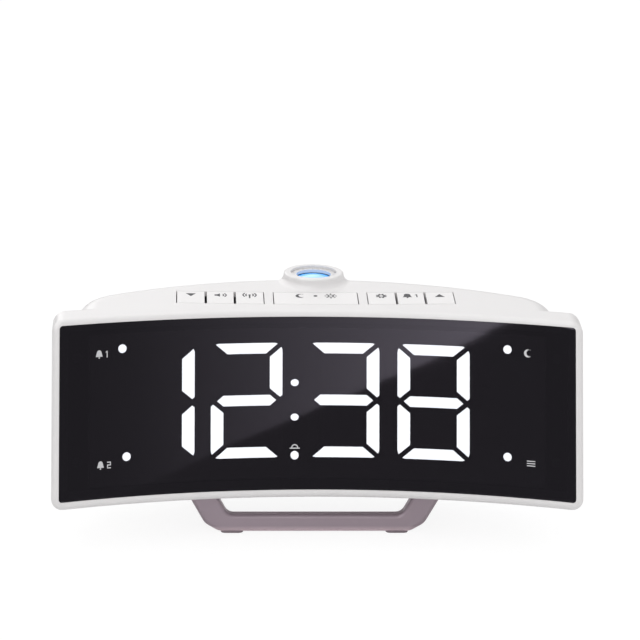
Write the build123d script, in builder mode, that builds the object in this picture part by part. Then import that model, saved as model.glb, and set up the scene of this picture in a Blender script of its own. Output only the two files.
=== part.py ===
"""Projection clock radio with a concave display window, seven top keys and a sled stand.

Millimetres. X runs to the right of someone facing the display, Y to the back and Z up. The origin is on
the table, midway across the clock and midway between its front corners and its projector tower.
"""

import os
from math import atan2, cos, degrees, radians, sin, sqrt, tan

from build123d import *

os.makedirs("parts", exist_ok=True)

# Display window and the case around it
width = 210.0
lens_width = 203.7
lens_height = 68.9  # measured along the tilted face
lens_thickness = 2.1
lens_sink = 0.15  # front of the window below the frame's face
lens_corner = 1.2
curve_radius = 338.0  # of the face at the window's bottom edge, about a vertical axis in front
tilt = 18.0  # the face leans back by this angle
top_border = 2.0
low_border = 3.5
frame_depth = 11.5  # front to back, of the picture frame round the window
frame_corner = 4.5
frame_edge = 2.0
frame_back_edge = 1.5
wall = 2.2
ledge = 3.0  # step that the window rests on, all round
ledge_thickness = 2.0
rest_height = 23.1  # table to the window's bottom edge

# Body behind the frame
roof_slope = 6.0
body_width = 192.0
body_depth = 63.6  # window's bottom edge to the rear wall
rear_radius = 186.0
rear_corner = 20.0
ridge_round = 8.0
floor_round = 3.5
floor_rise = 1.5  # the body's floor is this much above the frame's lower edge

# Projector
projector_back = 57.2  # window's bottom edge to the lens axis
tower_radius = 12.3
tower_flare = 3.0  # rounding where the tower meets the roof and the rear wall
tower_wall = 1.9
collar_height = 3.2  # rim above the roof at the lens axis
rim_round = 0.8
ring_radius = 9.2
ring_gap = 0.25
ring_drop = 1.1  # ring's top face below the rim
ring_height = 9.3
ring_lip = 1.2
ring_opening = 7.1
ring_flange = 0.75
ring_flange_height = 1.7
glass_radius = 6.9
glass_edge = 2.4
glass_dome = 0.9
glass_rim = 0.4  # flat rim round the dome
cell_radius = 7.5
cell_wall = 1.4
cell_height = 10.0
cell_tab = 1.6
focus_travel = 2.0
running_gap = 0.08
end_gap = 0.3  # between the ring, the lens cell and the tube, end to end
tube_radius = 8.6
tube_length = 38.0
tube_ear_x = 14.5
tube_ear_forward = 8.0  # lens axis to the screws of the tube's ears
tube_ear_thickness = 2.0
tube_ear_drop = 1.7
tube_ear_half = 2.6
tube_ear_edge = 0.6  # ear's end beyond the screw's head
slide_width = 10.6
slide_height = 7.6
slide_thickness = 1.1
slide_frame_height = 3.0
slide_rest = 0.8  # edge of the picture slide that lies on its frame
slide_above_base = 14.0  # tube's lower end to the shelf under the picture slide
shelf_thickness = 1.2
shelf_opening = 6.2
condenser_edge = 1.6
condenser_dome = 2.4
condenser_rim = 0.6
led_radius = 2.5
led_foot = 0.5  # foot's radius beyond the dome's
led_foot_height = 1.6
led_height = 2.6
led_dome = 1.6
grip_notches = 24
notch_length = 1.2
notch_width = 0.5
notch_depth = 0.4
tower_bottom = 18.0  # window's bottom edge to the underside of the tower

# Keys
key_front = 29.8  # window's bottom edge to the front of the keys
key_depth = 12.4
bank_inner = 21.0  # middle of the clock to the inner side of each bank of three keys
key_pitch = 11.73
key_split = 1.0  # gap between two keys of a bank
key_side_gap = 0.4
key_end_gap = 0.2
key_post_x = 59.4
snooze_half = 17.1
key_thickness = 3.9
key_flange = 1.0
key_flange_gap = 0.3
stem_radius = 2.2
stem_cap = 0.6  # stem's overlap with the key

# Digits: a plain seven-segment figure, two of them on each side of the colon
digit_height = 45.7  # along the tilted face
digit_width = 28.6
digit_corner = 3.4
upright_stroke = 5.0
level_stroke = 4.2
segment_gap = 1.95
side_nick = (1.6, 0.6)  # parts the two uprights at their outer edge
digit_middle = 35.0  # window's bottom edge to the digits' middle, along the face
hour_tens_x = -63.25
hour_x = -28.15
minute_tens_x = 10.7
minute_x = 46.6
colon_x = -8.9
colon_spread = 13.1
dot_width = 3.2
dot_height = 2.6
indicator_radius = 1.6
corner_light_x = 75.8
first_light_shift = 1.8  # the upper left light stands this much further out
corner_light_high = 57.7
corner_light_low = 15.0
afternoon_light = 12.9

# Display stack behind the window
glue_gap = 0.1
mask_front = 2.4
mask_back = 9.2
mask_fit = 0.15
mask_screw_x = 95.4
mask_screw_low = 13.0  # window's bottom edge to the lower screws
mask_screw_high = 52.0
mask_screw_sink = 2.0
mask_screw_length = 6.2
diffuser_depth = 1.6
fit_gap = 0.05
board_thickness = 0.8
board_width = 166.0
board_margin = 1.4
board_screw_x = 68.0
board_screw_edge = 4.6
board_screw_length = 4.6
chip_height = 0.8
chip_size = 2.0

# Key board, main board and their screws
circuit_thickness = 1.6
key_board_drop = 13.0  # roof at the keys to the key board's top
key_board_width = 124.0
key_board_front = 2.2  # behind the front of the keys
key_board_back = 5.5  # behind the back of the keys
switch_size = 6.0
switch_height = 3.5
plunger_radius = 1.7
plunger_height = 1.3
main_board_width = 116.0
main_board_depth = 33.0
main_board_front = 15.5
main_board_lift = 9.0
post_radius = 2.6
slim_post_radius = 1.8
screw_radius = 0.9
screw_head_radius = 2.0
screw_head_height = 1.4
screw_fit = 0.03
screw_slot = 0.5
screw_clearance = 0.2
plunger_seat = 1.2
switch_floor = 1.6
screw_bite = 5.0  # shank's length in its post
pilot_room = 1.0  # pilot hole beyond the shank's end
tube_screw_bite = 4.4
floor_post_height = 7.0
key_post_back = 3.2  # back of the keys to the two rear posts
main_post_inset = 3.5
main_post_spread = 16.0
processor_place = (-12.0, 10.0)  # from the middle, and from the board's front edge
processor_size = (14.0, 9.0, 1.8)
radio_chip_place = (12.0, 9.0)
radio_chip_size = (10.0, 10.0, 1.6)
regulator_place = (-30.0, 8.0)
regulator_size = (5.0, 4.0, 1.5)
capacitor_sizes = (  # from the middle, from the board's front edge, radius, height
    (-38.0, 20.0, 4.0, 9.0),
    (-28.0, 20.0, 3.2, 7.5),
    (34.0, 8.0, 2.5, 6.0),
)
capacitor_edge = 0.5
shield_place = (17.0, 23.0)
shield_size = (24.0, 13.0, 4.5)
shield_wall = 0.4

# Rear cover and what it carries
cover_width = 144.0
cover_low = 2.5
cover_high = 58.0
cover_corner = 7.0
cover_gap = 0.25
rebate = 3.0
rebate_thickness = 1.6
cover_screw_inset = 4.6
cover_screw_drop = 12.0  # rear opening's top edge to the upper screws
cover_screw_sink = 1.5
cover_screw_length = 7.0
cover_post_length = 9.0
cover_post_radius = 3.2
speaker_x = 44.0
speaker_z = 34.0
speaker_radius = 18.0
speaker_flange = 1.2
speaker_opening = 14.2
speaker_basket = 8.0
speaker_depth = 14.0
speaker_magnet = 10.0
speaker_inset = 4.0  # rear wall's outer surface to the speaker's flange
speaker_screw_circle = 16.2
speaker_screw_length = 3.4
basket_wall = 1.3
cone_rim = 1.0
cone_edge = 1.2  # width of the cone's flat edge
dust_cap_radius = 4.5
dust_cap_rise = 2.5
grille_slot = 1.6
grille_rim = 1.2  # speaker's opening to the ends of the slots
grille_pitch = 3.6
tray_x = -44.0
tray_z = 41.0
tray_width = 24.0
tray_start = 28.0  # window's bottom edge to the tray's inner end
tray_height = 4.8
tray_face_width = 27.0
tray_face_height = 7.4
coin_radius = 10.0
coin_height = 3.2
tray_floor = 1.4
tray_wall = 1.6
tray_corner = 1.2
tray_grip_width = 12.0
tray_grip_height = 2.2
tray_grip_depth = 1.0
coin_gap = 0.2
coin_step = 0.5
coin_step_radius = 8.8
slide_gap = 0.15
holder_wall = 1.8
contact_thickness = 0.4
contact_width = 4.0
contact_length = 15.0
contact_tail = 2.0  # in front of the holder, for the wire
jack_x = -50.0
jack_width = 9.0
jack_height = 11.0
jack_depth = 13.5
jack_barrel = 3.9
jack_bore = 2.75
jack_bore_depth = 9.5
jack_pin = 1.0
jack_axis = 6.5  # main board to the jack's axis
jack_sink = 0.6  # rear wall's surface to the socket's mouth

# Stand
stand_front = 11.0  # window's bottom edge to the stand's front face
stand_depth = 44.0
stand_bar = 6.0
stand_bar_height = 7.3
stand_half_low = 42.4
stand_half_high = 54.0
stand_leg = 11.6
stand_plate = 2.5
stand_plate_corner = 5.0
stand_screw_x = 30.0
stand_screw_front = 13.0  # stand's front face to the front screws
stand_screw_spread = 22.0
stand_knee = 3.9
stand_knee_round = 6.0
stand_inner_round = 4.0
stand_edge = 2.4
stand_inner_edge = 1.6
rear_leg_x = 45.7
rear_leg_width = 6.4
rear_leg_depth = 8.0
rear_leg_corner = 1.6
rear_leg_taper = 2.0
rear_leg_inset = 1.0  # plate's rear edge to the legs
pad_length = 9.0
pad_width = 4.0
rear_pad_length = 5.0
rear_pad_width = 3.0
pad_thickness = 1.3
pad_proud = 0.6
pad_inset = 4.4

# Places worked out from the sizes
lens_rise = lens_height * cos(radians(tilt))
frame_bottom = rest_height - low_border
body_floor = frame_bottom + floor_rise
lens_top = rest_height + lens_rise
roof_front = lens_top + top_border
low_radius = curve_radius - low_border * tan(radians(tilt))  # at the frame's lower edge
corner_sag = curve_radius - sqrt(low_radius**2 - (width / 2) ** 2)
face_y = (corner_sag - projector_back - tower_radius) / 2
axis_y = face_y - curve_radius
tower_y = face_y + projector_back


def face_depth(z, depth=0.0):
    """Y of the display face on the middle plane at a height, or of a layer behind it."""
    return face_y + depth + (z - rest_height) * tan(radians(tilt))


def roof_height(y):
    """Height of the roof on the middle plane."""
    return roof_front + (y - face_depth(roof_front)) * tan(radians(roof_slope))


def face_point(x, z, depth):
    """Y of a layer behind the curved face at a place seen from the front."""
    radius = face_depth(z, depth) - axis_y
    return axis_y + sqrt(radius**2 - x**2)


far = 160.0  # beyond every piece, for trimming solids
key_middle = face_y + key_front + key_depth / 2
ring_top = roof_height(tower_y) + collar_height - ring_drop
ring_bottom = ring_top - ring_height
ledge_back = lens_thickness + glue_gap + ledge_thickness
tower_low = rest_height + tower_bottom
tube_top = ring_bottom - end_gap
tower_shoulder = ring_bottom + ring_flange_height + end_gap
cover_bottom = rest_height + cover_low
cover_top = rest_height + cover_high


def block(x_limits, y_limits, z_limits):
    """Plain block between limits, to trim or cut with."""
    middle = [(low + high) / 2 for low, high in (x_limits, y_limits, z_limits)]
    with BuildPart() as plain:
        with Locations(tuple(middle)):
            Box(
                x_limits[1] - x_limits[0],
                y_limits[1] - y_limits[0],
                z_limits[1] - z_limits[0],
            )
    return plain.part


def cylinder(x, y, low, high, radius):
    """Upright cylinder."""
    with BuildPart() as plain:
        with BuildSketch(Plane.XY.offset(low)):
            with Locations((x, y)):
                Circle(radius)
        extrude(amount=high - low)
    return plain.part


def rod(x, z, near, back, radius):
    """Cylinder that runs front to back."""
    with BuildPart() as plain:
        with BuildSketch(Plane.XZ.offset(-near)):
            with Locations((x, z)):
                Circle(radius)
        extrude(amount=near - back)
    return plain.part


def front_prism(outline, near=-far, back=far):
    """A front-view outline, extruded from one depth back to another."""
    with BuildPart() as prism:
        with BuildSketch(Plane.XZ.offset(-near)):
            add(outline)
        extrude(amount=near - back)
    return prism.part


def face_band(front, back):
    """Layer parallel to the curved, tilted face, between two depths behind it."""
    low, high = rest_height - 30, rest_height + 100
    with BuildPart() as band:
        with BuildSketch(Plane.YZ):
            with BuildLine():
                Polyline(
                    (face_depth(low, front), low),
                    (face_depth(low, back), low),
                    (face_depth(high, back), high),
                    (face_depth(high, front), high),
                    close=True,
                )
            make_face()
        revolve(axis=Axis((0, axis_y, 0), (0, 0, 1)))
    return band.part


def under_roof(drop):
    """Everything below the roof, or below a surface that is lower by drop."""
    front, back = face_y - 60, face_y + 110
    with BuildPart() as below:
        with BuildSketch(Plane.YZ):
            with BuildLine():
                Polyline(
                    (front, -20),
                    (back, -20),
                    (back, roof_height(back) - drop),
                    (front, roof_height(front) - drop),
                    close=True,
                )
            make_face()
        revolve(axis=Axis((0, axis_y, 0), (0, 0, 1)))
    return below.part


def body_plan(inset):
    """Body seen from above at the roof: a long rear arc, two corner arcs and straight sides."""
    half = body_width / 2
    rear = face_y + body_depth
    centre_y = rear - rear_radius
    corner_x = half - rear_corner
    corner_y = centre_y + sqrt((rear_radius - rear_corner) ** 2 - corner_x**2)
    reach = rear_radius / (rear_radius - rear_corner)
    join = (corner_x * reach, centre_y + (corner_y - centre_y) * reach)
    front = face_y - 50
    with BuildSketch() as plan:
        with BuildLine():
            RadiusArc((-join[0], join[1]), join, rear_radius)
            RadiusArc(join, (half, corner_y), rear_corner)
            RadiusArc((-half, corner_y), (-join[0], join[1]), rear_corner)
            Polyline((half, corner_y), (half, front), (-half, front), (-half, corner_y))
        make_face()
        if inset:
            offset(amount=-inset, kind=Kind.INTERSECTION, mode=Mode.REPLACE)
    return plan.sketch


def body_form(inset):
    """The body's outer form, or one that lies inside it by inset."""
    top = roof_height(face_y + body_depth) + 12
    trim = under_roof(inset)
    plan = body_plan(inset)
    with BuildPart() as form:
        with BuildSketch(Plane.XY.offset(top)):
            add(plan)
        extrude(amount=body_floor + inset - top)
        add(trim, mode=Mode.INTERSECT)
        for face, radius in (
            (form.faces().sort_by(Axis.Z)[-1], ridge_round - inset),
            (form.faces().sort_by(Axis.Z)[0], max(floor_round - inset, 0)),
        ):
            if radius > 0:
                outer = face.edges().filter_by(lambda edge: edge.center().Y > face_y - 45)
                fillet(outer, radius)
    return form.part


rim_height = roof_height(tower_y) + collar_height
roof = under_roof(0)
frame_roof = under_roof(wall + glue_gap)
body_outside = body_form(0)
body_inside = body_form(wall)
behind_ledge = face_band(ledge_back + ledge_thickness / 2, far)


def on_layer(depth):
    """Tells whether an edge's middle lies on a layer behind the face."""

    def test(edge):
        middle = edge @ 0.5
        return abs(middle.Y - face_point(middle.X, middle.Z, depth)) < 0.05

    return test


# The picture frame: a curved slab whose corners and edges are rounded
frame_layer = face_band(0, frame_depth)
with BuildPart() as frame:
    add(block((-width / 2, width / 2), (face_y - 60, far), (frame_bottom, far)))
    add(frame_layer, mode=Mode.INTERSECT)
    add(roof, mode=Mode.INTERSECT)
    sides = frame.edges().filter_by(
        lambda edge: abs((edge @ 0.5).X) > width / 2 - 0.1 and abs((edge % 0.5).Y) > 0.9
    )
    fillet(sides, frame_corner)
    fillet(frame.edges().filter_by(on_layer(0)), frame_edge)
    fillet(frame.edges().filter_by(on_layer(frame_depth)), frame_back_edge)

# Body and projector tower, as one form
tower_column = cylinder(0, tower_y, tower_low, rim_height, tower_radius)
tower_core = cylinder(0, tower_y, tower_low + tower_wall, tower_shoulder, tower_radius - tower_wall)


def on_tower(edge):
    """Tells whether an edge is where the tower meets the roof, the ridge or the rear wall."""
    middle = edge @ 0.5
    reach = sqrt(middle.X**2 + (middle.Y - tower_y) ** 2)
    level = tower_low + 1 < middle.Z < rim_height - 0.5
    return level and abs(reach - tower_radius) < 0.02


behind_frame = face_band(frame_depth / 2, far)
with BuildPart() as outside:
    add(body_outside)
    add(tower_column)
    fillet(outside.edges().filter_by(on_tower), tower_flare)
    add(behind_frame, mode=Mode.INTERSECT)
    rims = outside.edges().filter_by(GeomType.CIRCLE)
    fillet(rims.sort_by(Axis.Z)[-1], rim_round)

frame_cavity = face_band(ledge_back, frame_depth - wall)
with BuildPart() as frame_room:
    add(block(
        (wall - width / 2, width / 2 - wall), (face_y - 60, far), (frame_bottom + wall, far)
    ))
    add(frame_cavity, mode=Mode.INTERSECT)
    add(frame_roof, mode=Mode.INTERSECT)
body_room = body_inside & behind_ledge


def save(piece, label):
    """Name a finished piece and write it."""
    piece.label = label
    export_step(piece, f"parts/{label}.step")


def rectangle_outline(x_limits, z_limits, corner=0.0):
    """Front-view rectangle between limits."""
    size = (x_limits[1] - x_limits[0], z_limits[1] - z_limits[0])
    middle = ((x_limits[0] + x_limits[1]) / 2, (z_limits[0] + z_limits[1]) / 2)
    with BuildSketch() as outline:
        with Locations(middle):
            if corner:
                RectangleRounded(*size, corner)
            else:
                Rectangle(*size)
    return outline.sketch


def roof_layer(y_limits, x_limits, upper, lower):
    """Rectangle seen from above, cut out of the layer between two roof surfaces."""
    with BuildPart() as patch:
        add(block(x_limits, y_limits, (rest_height, far)))
        add(upper, mode=Mode.INTERSECT)
        add(lower, mode=Mode.SUBTRACT)
    return patch.part


# Outlines of the window and of what lies behind it, seen from the front
lens_half = lens_width / 2
lens_outline = rectangle_outline((-lens_half, lens_half), (rest_height, lens_top), lens_corner)
seat_half = lens_half + glue_gap
seat_outline = rectangle_outline(
    (-seat_half, seat_half), (rest_height - glue_gap, lens_top + glue_gap), lens_corner + glue_gap
)
opening_half = lens_half - ledge
opening_limits = (rest_height + ledge, lens_top - ledge)
opening_outline = rectangle_outline((-opening_half, opening_half), opening_limits, lens_corner)

# Keys: banks of three on each side of the wide middle key
key_limits = {"key_snooze": (-snooze_half + key_side_gap / 2, snooze_half - key_side_gap / 2)}
bank_names = (
    ("key_radio", "key_volume", "key_volume_down"),
    ("key_set", "key_alarm", "key_volume_up"),
)
for side, names in zip((-1, 1), bank_names):
    for place, name in enumerate(names):
        inner = bank_inner + place * key_pitch + (key_split if place else key_side_gap) / 2
        last = place == len(names) - 1
        outer = bank_inner + (place + 1) * key_pitch - (key_side_gap if last else key_split) / 2
        key_limits[name] = tuple(sorted((side * inner, side * outer)))
bank_outer = bank_inner + len(bank_names[0]) * key_pitch
key_y = (face_y + key_front, face_y + key_front + key_depth)
slot_y = (key_y[0] - key_end_gap, key_y[1] + key_end_gap)
half_gap = key_side_gap / 2
slot_limits = (
    (-bank_outer - half_gap, half_gap - bank_inner),
    (-snooze_half - half_gap, snooze_half + half_gap),
    (bank_inner - half_gap, bank_outer + half_gap),
)
board_top = roof_height(key_middle) - key_board_drop
plunger_base = board_top + switch_height - plunger_seat
plunger_top = board_top + switch_height + plunger_height
stem_bottom = plunger_top + fit_gap
key_board_y = (key_y[0] + key_board_front, key_y[1] + key_board_back)

# Rear opening and the screws of the cover
cover_half = cover_width / 2
cover_limits = (cover_bottom, cover_top)
cover_outline = rectangle_outline((-cover_half, cover_half), cover_limits, cover_corner)
plate_outline = rectangle_outline(
    (cover_gap - cover_half, cover_half - cover_gap),
    (cover_bottom + cover_gap, cover_top - cover_gap),
    cover_corner - cover_gap,
)
rebate_outer = rectangle_outline(
    (-cover_half - rebate, cover_half + rebate),
    (cover_bottom - rebate / 2, cover_top + rebate),
    cover_corner + rebate,
)
rebate_inner = rectangle_outline(
    (rebate - cover_half, cover_half - rebate),
    (cover_bottom + rebate, cover_top - rebate),
    cover_corner - rebate,
)
cover_screw_x = cover_half - cover_screw_inset
cover_screw_z = (cover_bottom + cover_screw_inset, cover_top - cover_screw_drop)
plate_thickness = wall - glue_gap
cover_inside = body_form(plate_thickness)
with BuildPart() as rebate_back:
    with BuildSketch():
        add(body_plan(wall + rebate_thickness))
    extrude(amount=far)


rear_centre = face_y + body_depth - rear_radius


def rear_wall(x, inset=0.0):
    """Y of the rear wall's surface, or of a layer inside it."""
    return rear_centre + sqrt((rear_radius - inset) ** 2 - x**2)


def rear_plane(x, z, inset):
    """Plane on the rear wall that faces outwards, sunk below the surface by inset."""
    across = x / rear_radius
    along = sqrt(1 - across**2)
    reach = rear_radius - inset
    origin = (across * reach, rear_centre + along * reach, z)
    return Plane(origin=origin, x_dir=(-along, across, 0), z_dir=(across, along, 0))


def disc(plane, radius, depth):
    """Cylinder that runs inwards from a plane."""
    with BuildPart() as plain:
        with BuildSketch(plane):
            Circle(radius)
        extrude(amount=-depth)
    return plain.part


mid_y = face_y + 15  # nothing of the rear wall is in front of this


UP = (0, 0, 1)
pilot = screw_radius + screw_fit
clearance = screw_radius + screw_clearance
pilot_depth = screw_bite + pilot_room
head_room = screw_head_radius + screw_clearance

# Places of the screws
key_post_places = [(side * key_post_x, key_middle) for side in (-1, 1)]
key_post_places += [
    (side * (bank_inner + snooze_half) / 2, key_y[1] + key_post_back) for side in (-1, 1)
]
tube_post_places = [(side * tube_ear_x, tower_y - tube_ear_forward) for side in (-1, 1)]
main_board_y = (face_y + main_board_front, face_y + main_board_front + main_board_depth)
main_board_z = body_floor + main_board_lift
main_board_half = main_board_width / 2
main_post_places = [
    (side * (main_board_half - main_post_inset), main_board_y[0] + main_post_inset + back)
    for side in (-1, 1)
    for back in (0, main_post_spread)
]
stand_y = (face_y + stand_front, face_y + stand_front + stand_depth)
stand_screw_places = [
    (side * stand_screw_x, stand_y[0] + stand_screw_front + back)
    for side in (-1, 1)
    for back in (0, stand_screw_spread)
]
cover_screw_places = [(side * cover_screw_x, z) for side in (-1, 1) for z in cover_screw_z]
ear_bottom = tube_top - tube_ear_drop - tube_ear_thickness
ear_top = ear_bottom + tube_ear_thickness


def face_plane(x, z, depth, forward):
    """Plane square to a layer of the face, looking to the front or to the back."""
    across = x / (face_depth(z, depth) - axis_y)
    along = sqrt(1 - across**2)
    lean = radians(tilt)
    sign = 1 if forward else -1
    normal = (-across * cos(lean) * sign, -along * cos(lean) * sign, sin(lean) * sign)
    origin = (x, face_point(x, z, depth), z)
    return Plane(origin=origin, x_dir=(along, -across, 0), z_dir=normal)


mask_seat_depth = mask_front + mask_screw_sink
mask_screw_seats = [
    face_plane(side * mask_screw_x, rest_height + up, mask_seat_depth, forward=False)
    for side in (-1, 1)
    for up in (mask_screw_low, mask_screw_high)
]
board_front = mask_back + glue_gap
board_back = board_front + board_thickness
board_limits = (opening_limits[0] + board_margin, opening_limits[1] - board_margin)
board_screw_seats = [
    face_plane(x, z, board_back, forward=True)
    for x in (-board_screw_x, colon_x, board_screw_x)
    for z in (opening_limits[0] + board_screw_edge, opening_limits[1] - board_screw_edge)
]


def hole(seat, start, end, radius):
    """Cylinder along a seat's axis, between two distances from the seat."""
    with BuildPart() as plain:
        with BuildSketch(seat.offset(start)):
            Circle(radius)
        extrude(amount=end - start)
    return plain.part


def screw(seat, length):
    """Pan-head screw whose shank runs from the seat along its axis."""
    with BuildPart() as one:
        with BuildSketch(seat):
            Circle(screw_radius)
        extrude(amount=length)
        with BuildSketch(seat):
            Circle(screw_head_radius)
        extrude(amount=-screw_head_height)
        with BuildSketch(seat.offset(-screw_head_height)):
            Rectangle(screw_slot, 2.4 * screw_radius)
            Rectangle(2.4 * screw_radius, screw_slot)
        extrude(amount=screw_head_height / 2, mode=Mode.SUBTRACT)
    return one.part


def upward_seat(place, z):
    """Seat of a screw that is driven upwards."""
    return Plane(origin=(*place, z), z_dir=UP)


def downward_seat(place, z):
    """Seat of a screw that is driven downwards."""
    return Plane(origin=(*place, z), z_dir=(0, 0, -1))


# Front housing: frame, roof, sides, floor and collar in one moulding
lens_pocket = front_prism(seat_outline) & face_band(-frame_depth, lens_thickness + glue_gap)
window_cut = front_prism(opening_outline) & face_band(-frame_depth, ledge_back + 1)
mid_roof = under_roof(wall / 2)
rebate_ring = (body_inside - rebate_back.part) & front_prism(rebate_outer, near=mid_y)
rebate_ring = rebate_ring - front_prism(rebate_inner, near=mid_y)
with BuildPart() as roof_posts:
    for place in key_post_places:
        add(cylinder(*place, board_top, far, slim_post_radius))
    for place in tube_post_places:
        add(cylinder(*place, ear_top, far, post_radius))
    add(mid_roof, mode=Mode.INTERSECT)
with BuildPart() as cover_posts:
    for x, z in cover_screw_places:
        add(disc(rear_plane(x, z, 0), cover_post_radius, wall + cover_post_length))
    add(body_inside, mode=Mode.INTERSECT)
with BuildPart() as front_housing:
    add(outside.part)
    add(frame.part)
    add(body_room, mode=Mode.SUBTRACT)
    add(frame_room.part, mode=Mode.SUBTRACT)
    add(lens_pocket, mode=Mode.SUBTRACT)
    add(window_cut, mode=Mode.SUBTRACT)
    add(front_prism(cover_outline, near=mid_y), mode=Mode.SUBTRACT)
    add(rebate_ring)
    add(cover_posts.part)
    add(cylinder(0, tower_y, tower_shoulder, rim_height - collar_height, tower_radius))
    add(tower_core, mode=Mode.SUBTRACT)
    add(
        cylinder(0, tower_y, tower_shoulder - 1, far, ring_radius + ring_gap), mode=Mode.SUBTRACT
    )
    for limits in slot_limits:
        add(block(limits, slot_y, (board_top, far)), mode=Mode.SUBTRACT)
    add(roof_posts.part)
    for place in main_post_places:
        add(cylinder(*place, body_floor + wall / 2, main_board_z, post_radius))
        add(cylinder(*place, main_board_z - pilot_depth, main_board_z, pilot), mode=Mode.SUBTRACT)
    for place in stand_screw_places:
        add(cylinder(*place, body_floor + wall / 2, body_floor + floor_post_height, post_radius))
        add(cylinder(*place, body_floor, body_floor + pilot_depth, pilot), mode=Mode.SUBTRACT)
    for place in key_post_places:
        add(cylinder(*place, board_top, board_top + pilot_depth, pilot), mode=Mode.SUBTRACT)
    for place in tube_post_places:
        add(
            cylinder(*place, ear_top, ear_top + tube_screw_bite + fit_gap, pilot), mode=Mode.SUBTRACT
        )
    for x, z in cover_screw_places:
        depth = cover_screw_sink + cover_screw_length + pilot_room
        add(disc(rear_plane(x, z, 0), pilot, depth), mode=Mode.SUBTRACT)
    for seat in mask_screw_seats:
        add(hole(seat, 2, mask_screw_length + screw_clearance, pilot), mode=Mode.SUBTRACT)
save(front_housing.part, "front_housing")

# Window
lens_layer = face_band(lens_sink, lens_thickness)
with BuildPart() as display_lens:
    add(front_prism(lens_outline))
    add(lens_layer, mode=Mode.INTERSECT)
save(display_lens.part, "display_lens")

# Digits, seen from the front; heights measured along the face become heights in Z
lean_cos = cos(radians(tilt))
digit_z = rest_height + digit_middle * lean_cos
level = level_stroke * lean_cos
slope = degrees(atan2(level, upright_stroke))


def digit_outline(grow=0.0):
    """Seven separate segments of one digit, centred on the origin."""
    half_x, half_z = digit_width / 2, digit_height * lean_cos / 2
    inner_x, inner_z = half_x - upright_stroke, half_z - level
    strip = segment_gap - 2 * grow
    middle_shift = segment_gap / 2 / cos(radians(slope))
    window_height = inner_z - level / 2 - 2 * grow
    with BuildSketch() as outline:
        RectangleRounded(2 * (half_x + grow), 2 * (half_z + grow), digit_corner + grow)
        for up in (-1, 1):
            with Locations((0, up * (inner_z + level / 2) / 2)):
                Rectangle(2 * (inner_x - grow), window_height, mode=Mode.SUBTRACT)
            for side in (-1, 1):
                with Locations(Location((side * inner_x, up * inner_z), side * up * slope)):
                    Rectangle(4 * upright_stroke, strip, mode=Mode.SUBTRACT)
                start = (side * inner_x, up * (level / 2 + middle_shift))
                with Locations(Location(start, -side * up * slope)):
                    with Locations((side * upright_stroke / 2, 0)):
                        Rectangle(2.2 * upright_stroke, strip, mode=Mode.SUBTRACT)
        for side in (-1, 1):
            with Locations((side * half_x, 0)):
                Rectangle(*side_nick, mode=Mode.SUBTRACT)
    return outline.sketch


def segment_name(face):
    """Usual letter of a segment, from its place in the digit."""
    middle = face.center()
    if abs(middle.X) < 2:
        return "g" if abs(middle.Y) < 2 else ("a" if middle.Y > 0 else "d")
    if middle.X > 0:
        return "b" if middle.Y > 0 else "c"
    return "f" if middle.Y > 0 else "e"


def segments(x, letters, grow=0.0):
    """Chosen segments of the digit whose middle is at x."""
    with BuildSketch() as chosen:
        with Locations((x, digit_z)):
            add([face for face in digit_outline(grow).faces() if segment_name(face) in letters])
    return chosen.sketch


def dots(places, x_radius, z_radius):
    """Round or oval lights, seen from the front."""
    with BuildSketch() as spots:
        with Locations(*places):
            Ellipse(x_radius, z_radius) if x_radius > z_radius else Circle(x_radius)
    return spots.sketch


colon_places = [(colon_x, digit_z + side * colon_spread / 2) for side in (-1, 1)]
indicator_places = [(colon_x, rest_height + afternoon_light * lean_cos)]
indicator_places += [
    (x, rest_height + corner_light_high * lean_cos)
    for x in (-corner_light_x - first_light_shift, corner_light_x)
]
indicator_places += [
    (side * corner_light_x, rest_height + corner_light_low * lean_cos) for side in (-1, 1)
]
digit_places = {
    "hour_tens_segments": (hour_tens_x, "bc", ""),
    "hour_segments": (hour_x, "abged", "fc"),
    "minute_tens_segments": (minute_tens_x, "abgcd", "fe"),
    "minute_segments": (minute_x, "abcdefg", ""),
}


def lights(grow=0.0):
    """Outlines of all lights by name; with grow, of the cells that hold them."""
    found = {name: segments(x, lit, grow) for name, (x, lit, dark) in digit_places.items()}
    with BuildSketch() as dark_ones:
        for x, lit, dark in digit_places.values():
            if dark:
                add(segments(x, dark, grow))
    found["unlit_segments"] = dark_ones.sketch
    found["colon_lights"] = dots(colon_places, dot_width / 2 + grow, dot_height / 2 + grow)
    found["indicator_lights"] = dots(
        indicator_places, indicator_radius + grow, indicator_radius + grow
    )
    return found


# Mask: a curved slab with a cell behind every light
mask_outline = rectangle_outline(
    (mask_fit - opening_half, opening_half - mask_fit),
    (opening_limits[0] + mask_fit, opening_limits[1] - mask_fit),
    lens_corner,
)
mask_layer = face_band(mask_front, mask_back)
cells = lights(fit_gap)
with BuildPart() as digit_mask:
    add(front_prism(mask_outline))
    add(mask_layer, mode=Mode.INTERSECT)
    for outline in cells.values():
        add(front_prism(outline), mode=Mode.SUBTRACT)
    for seat in mask_screw_seats:
        add(hole(seat, -mask_screw_sink - 1, 0, head_room), mode=Mode.SUBTRACT)
        add(hole(seat, 0, far / 8, clearance), mode=Mode.SUBTRACT)
    for seat in board_screw_seats:
        add(hole(seat, 0, board_screw_length + screw_clearance, pilot), mode=Mode.SUBTRACT)
save(digit_mask.part, "digit_mask")

# Diffusers in the cells
diffuser_front = mask_front + fit_gap
diffuser_layer = face_band(diffuser_front, diffuser_front + diffuser_depth)
for name, outline in lights().items():
    with BuildPart() as diffusers:
        add(front_prism(outline))
        add(diffuser_layer, mode=Mode.INTERSECT)
    save(diffusers.part, name)

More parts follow.
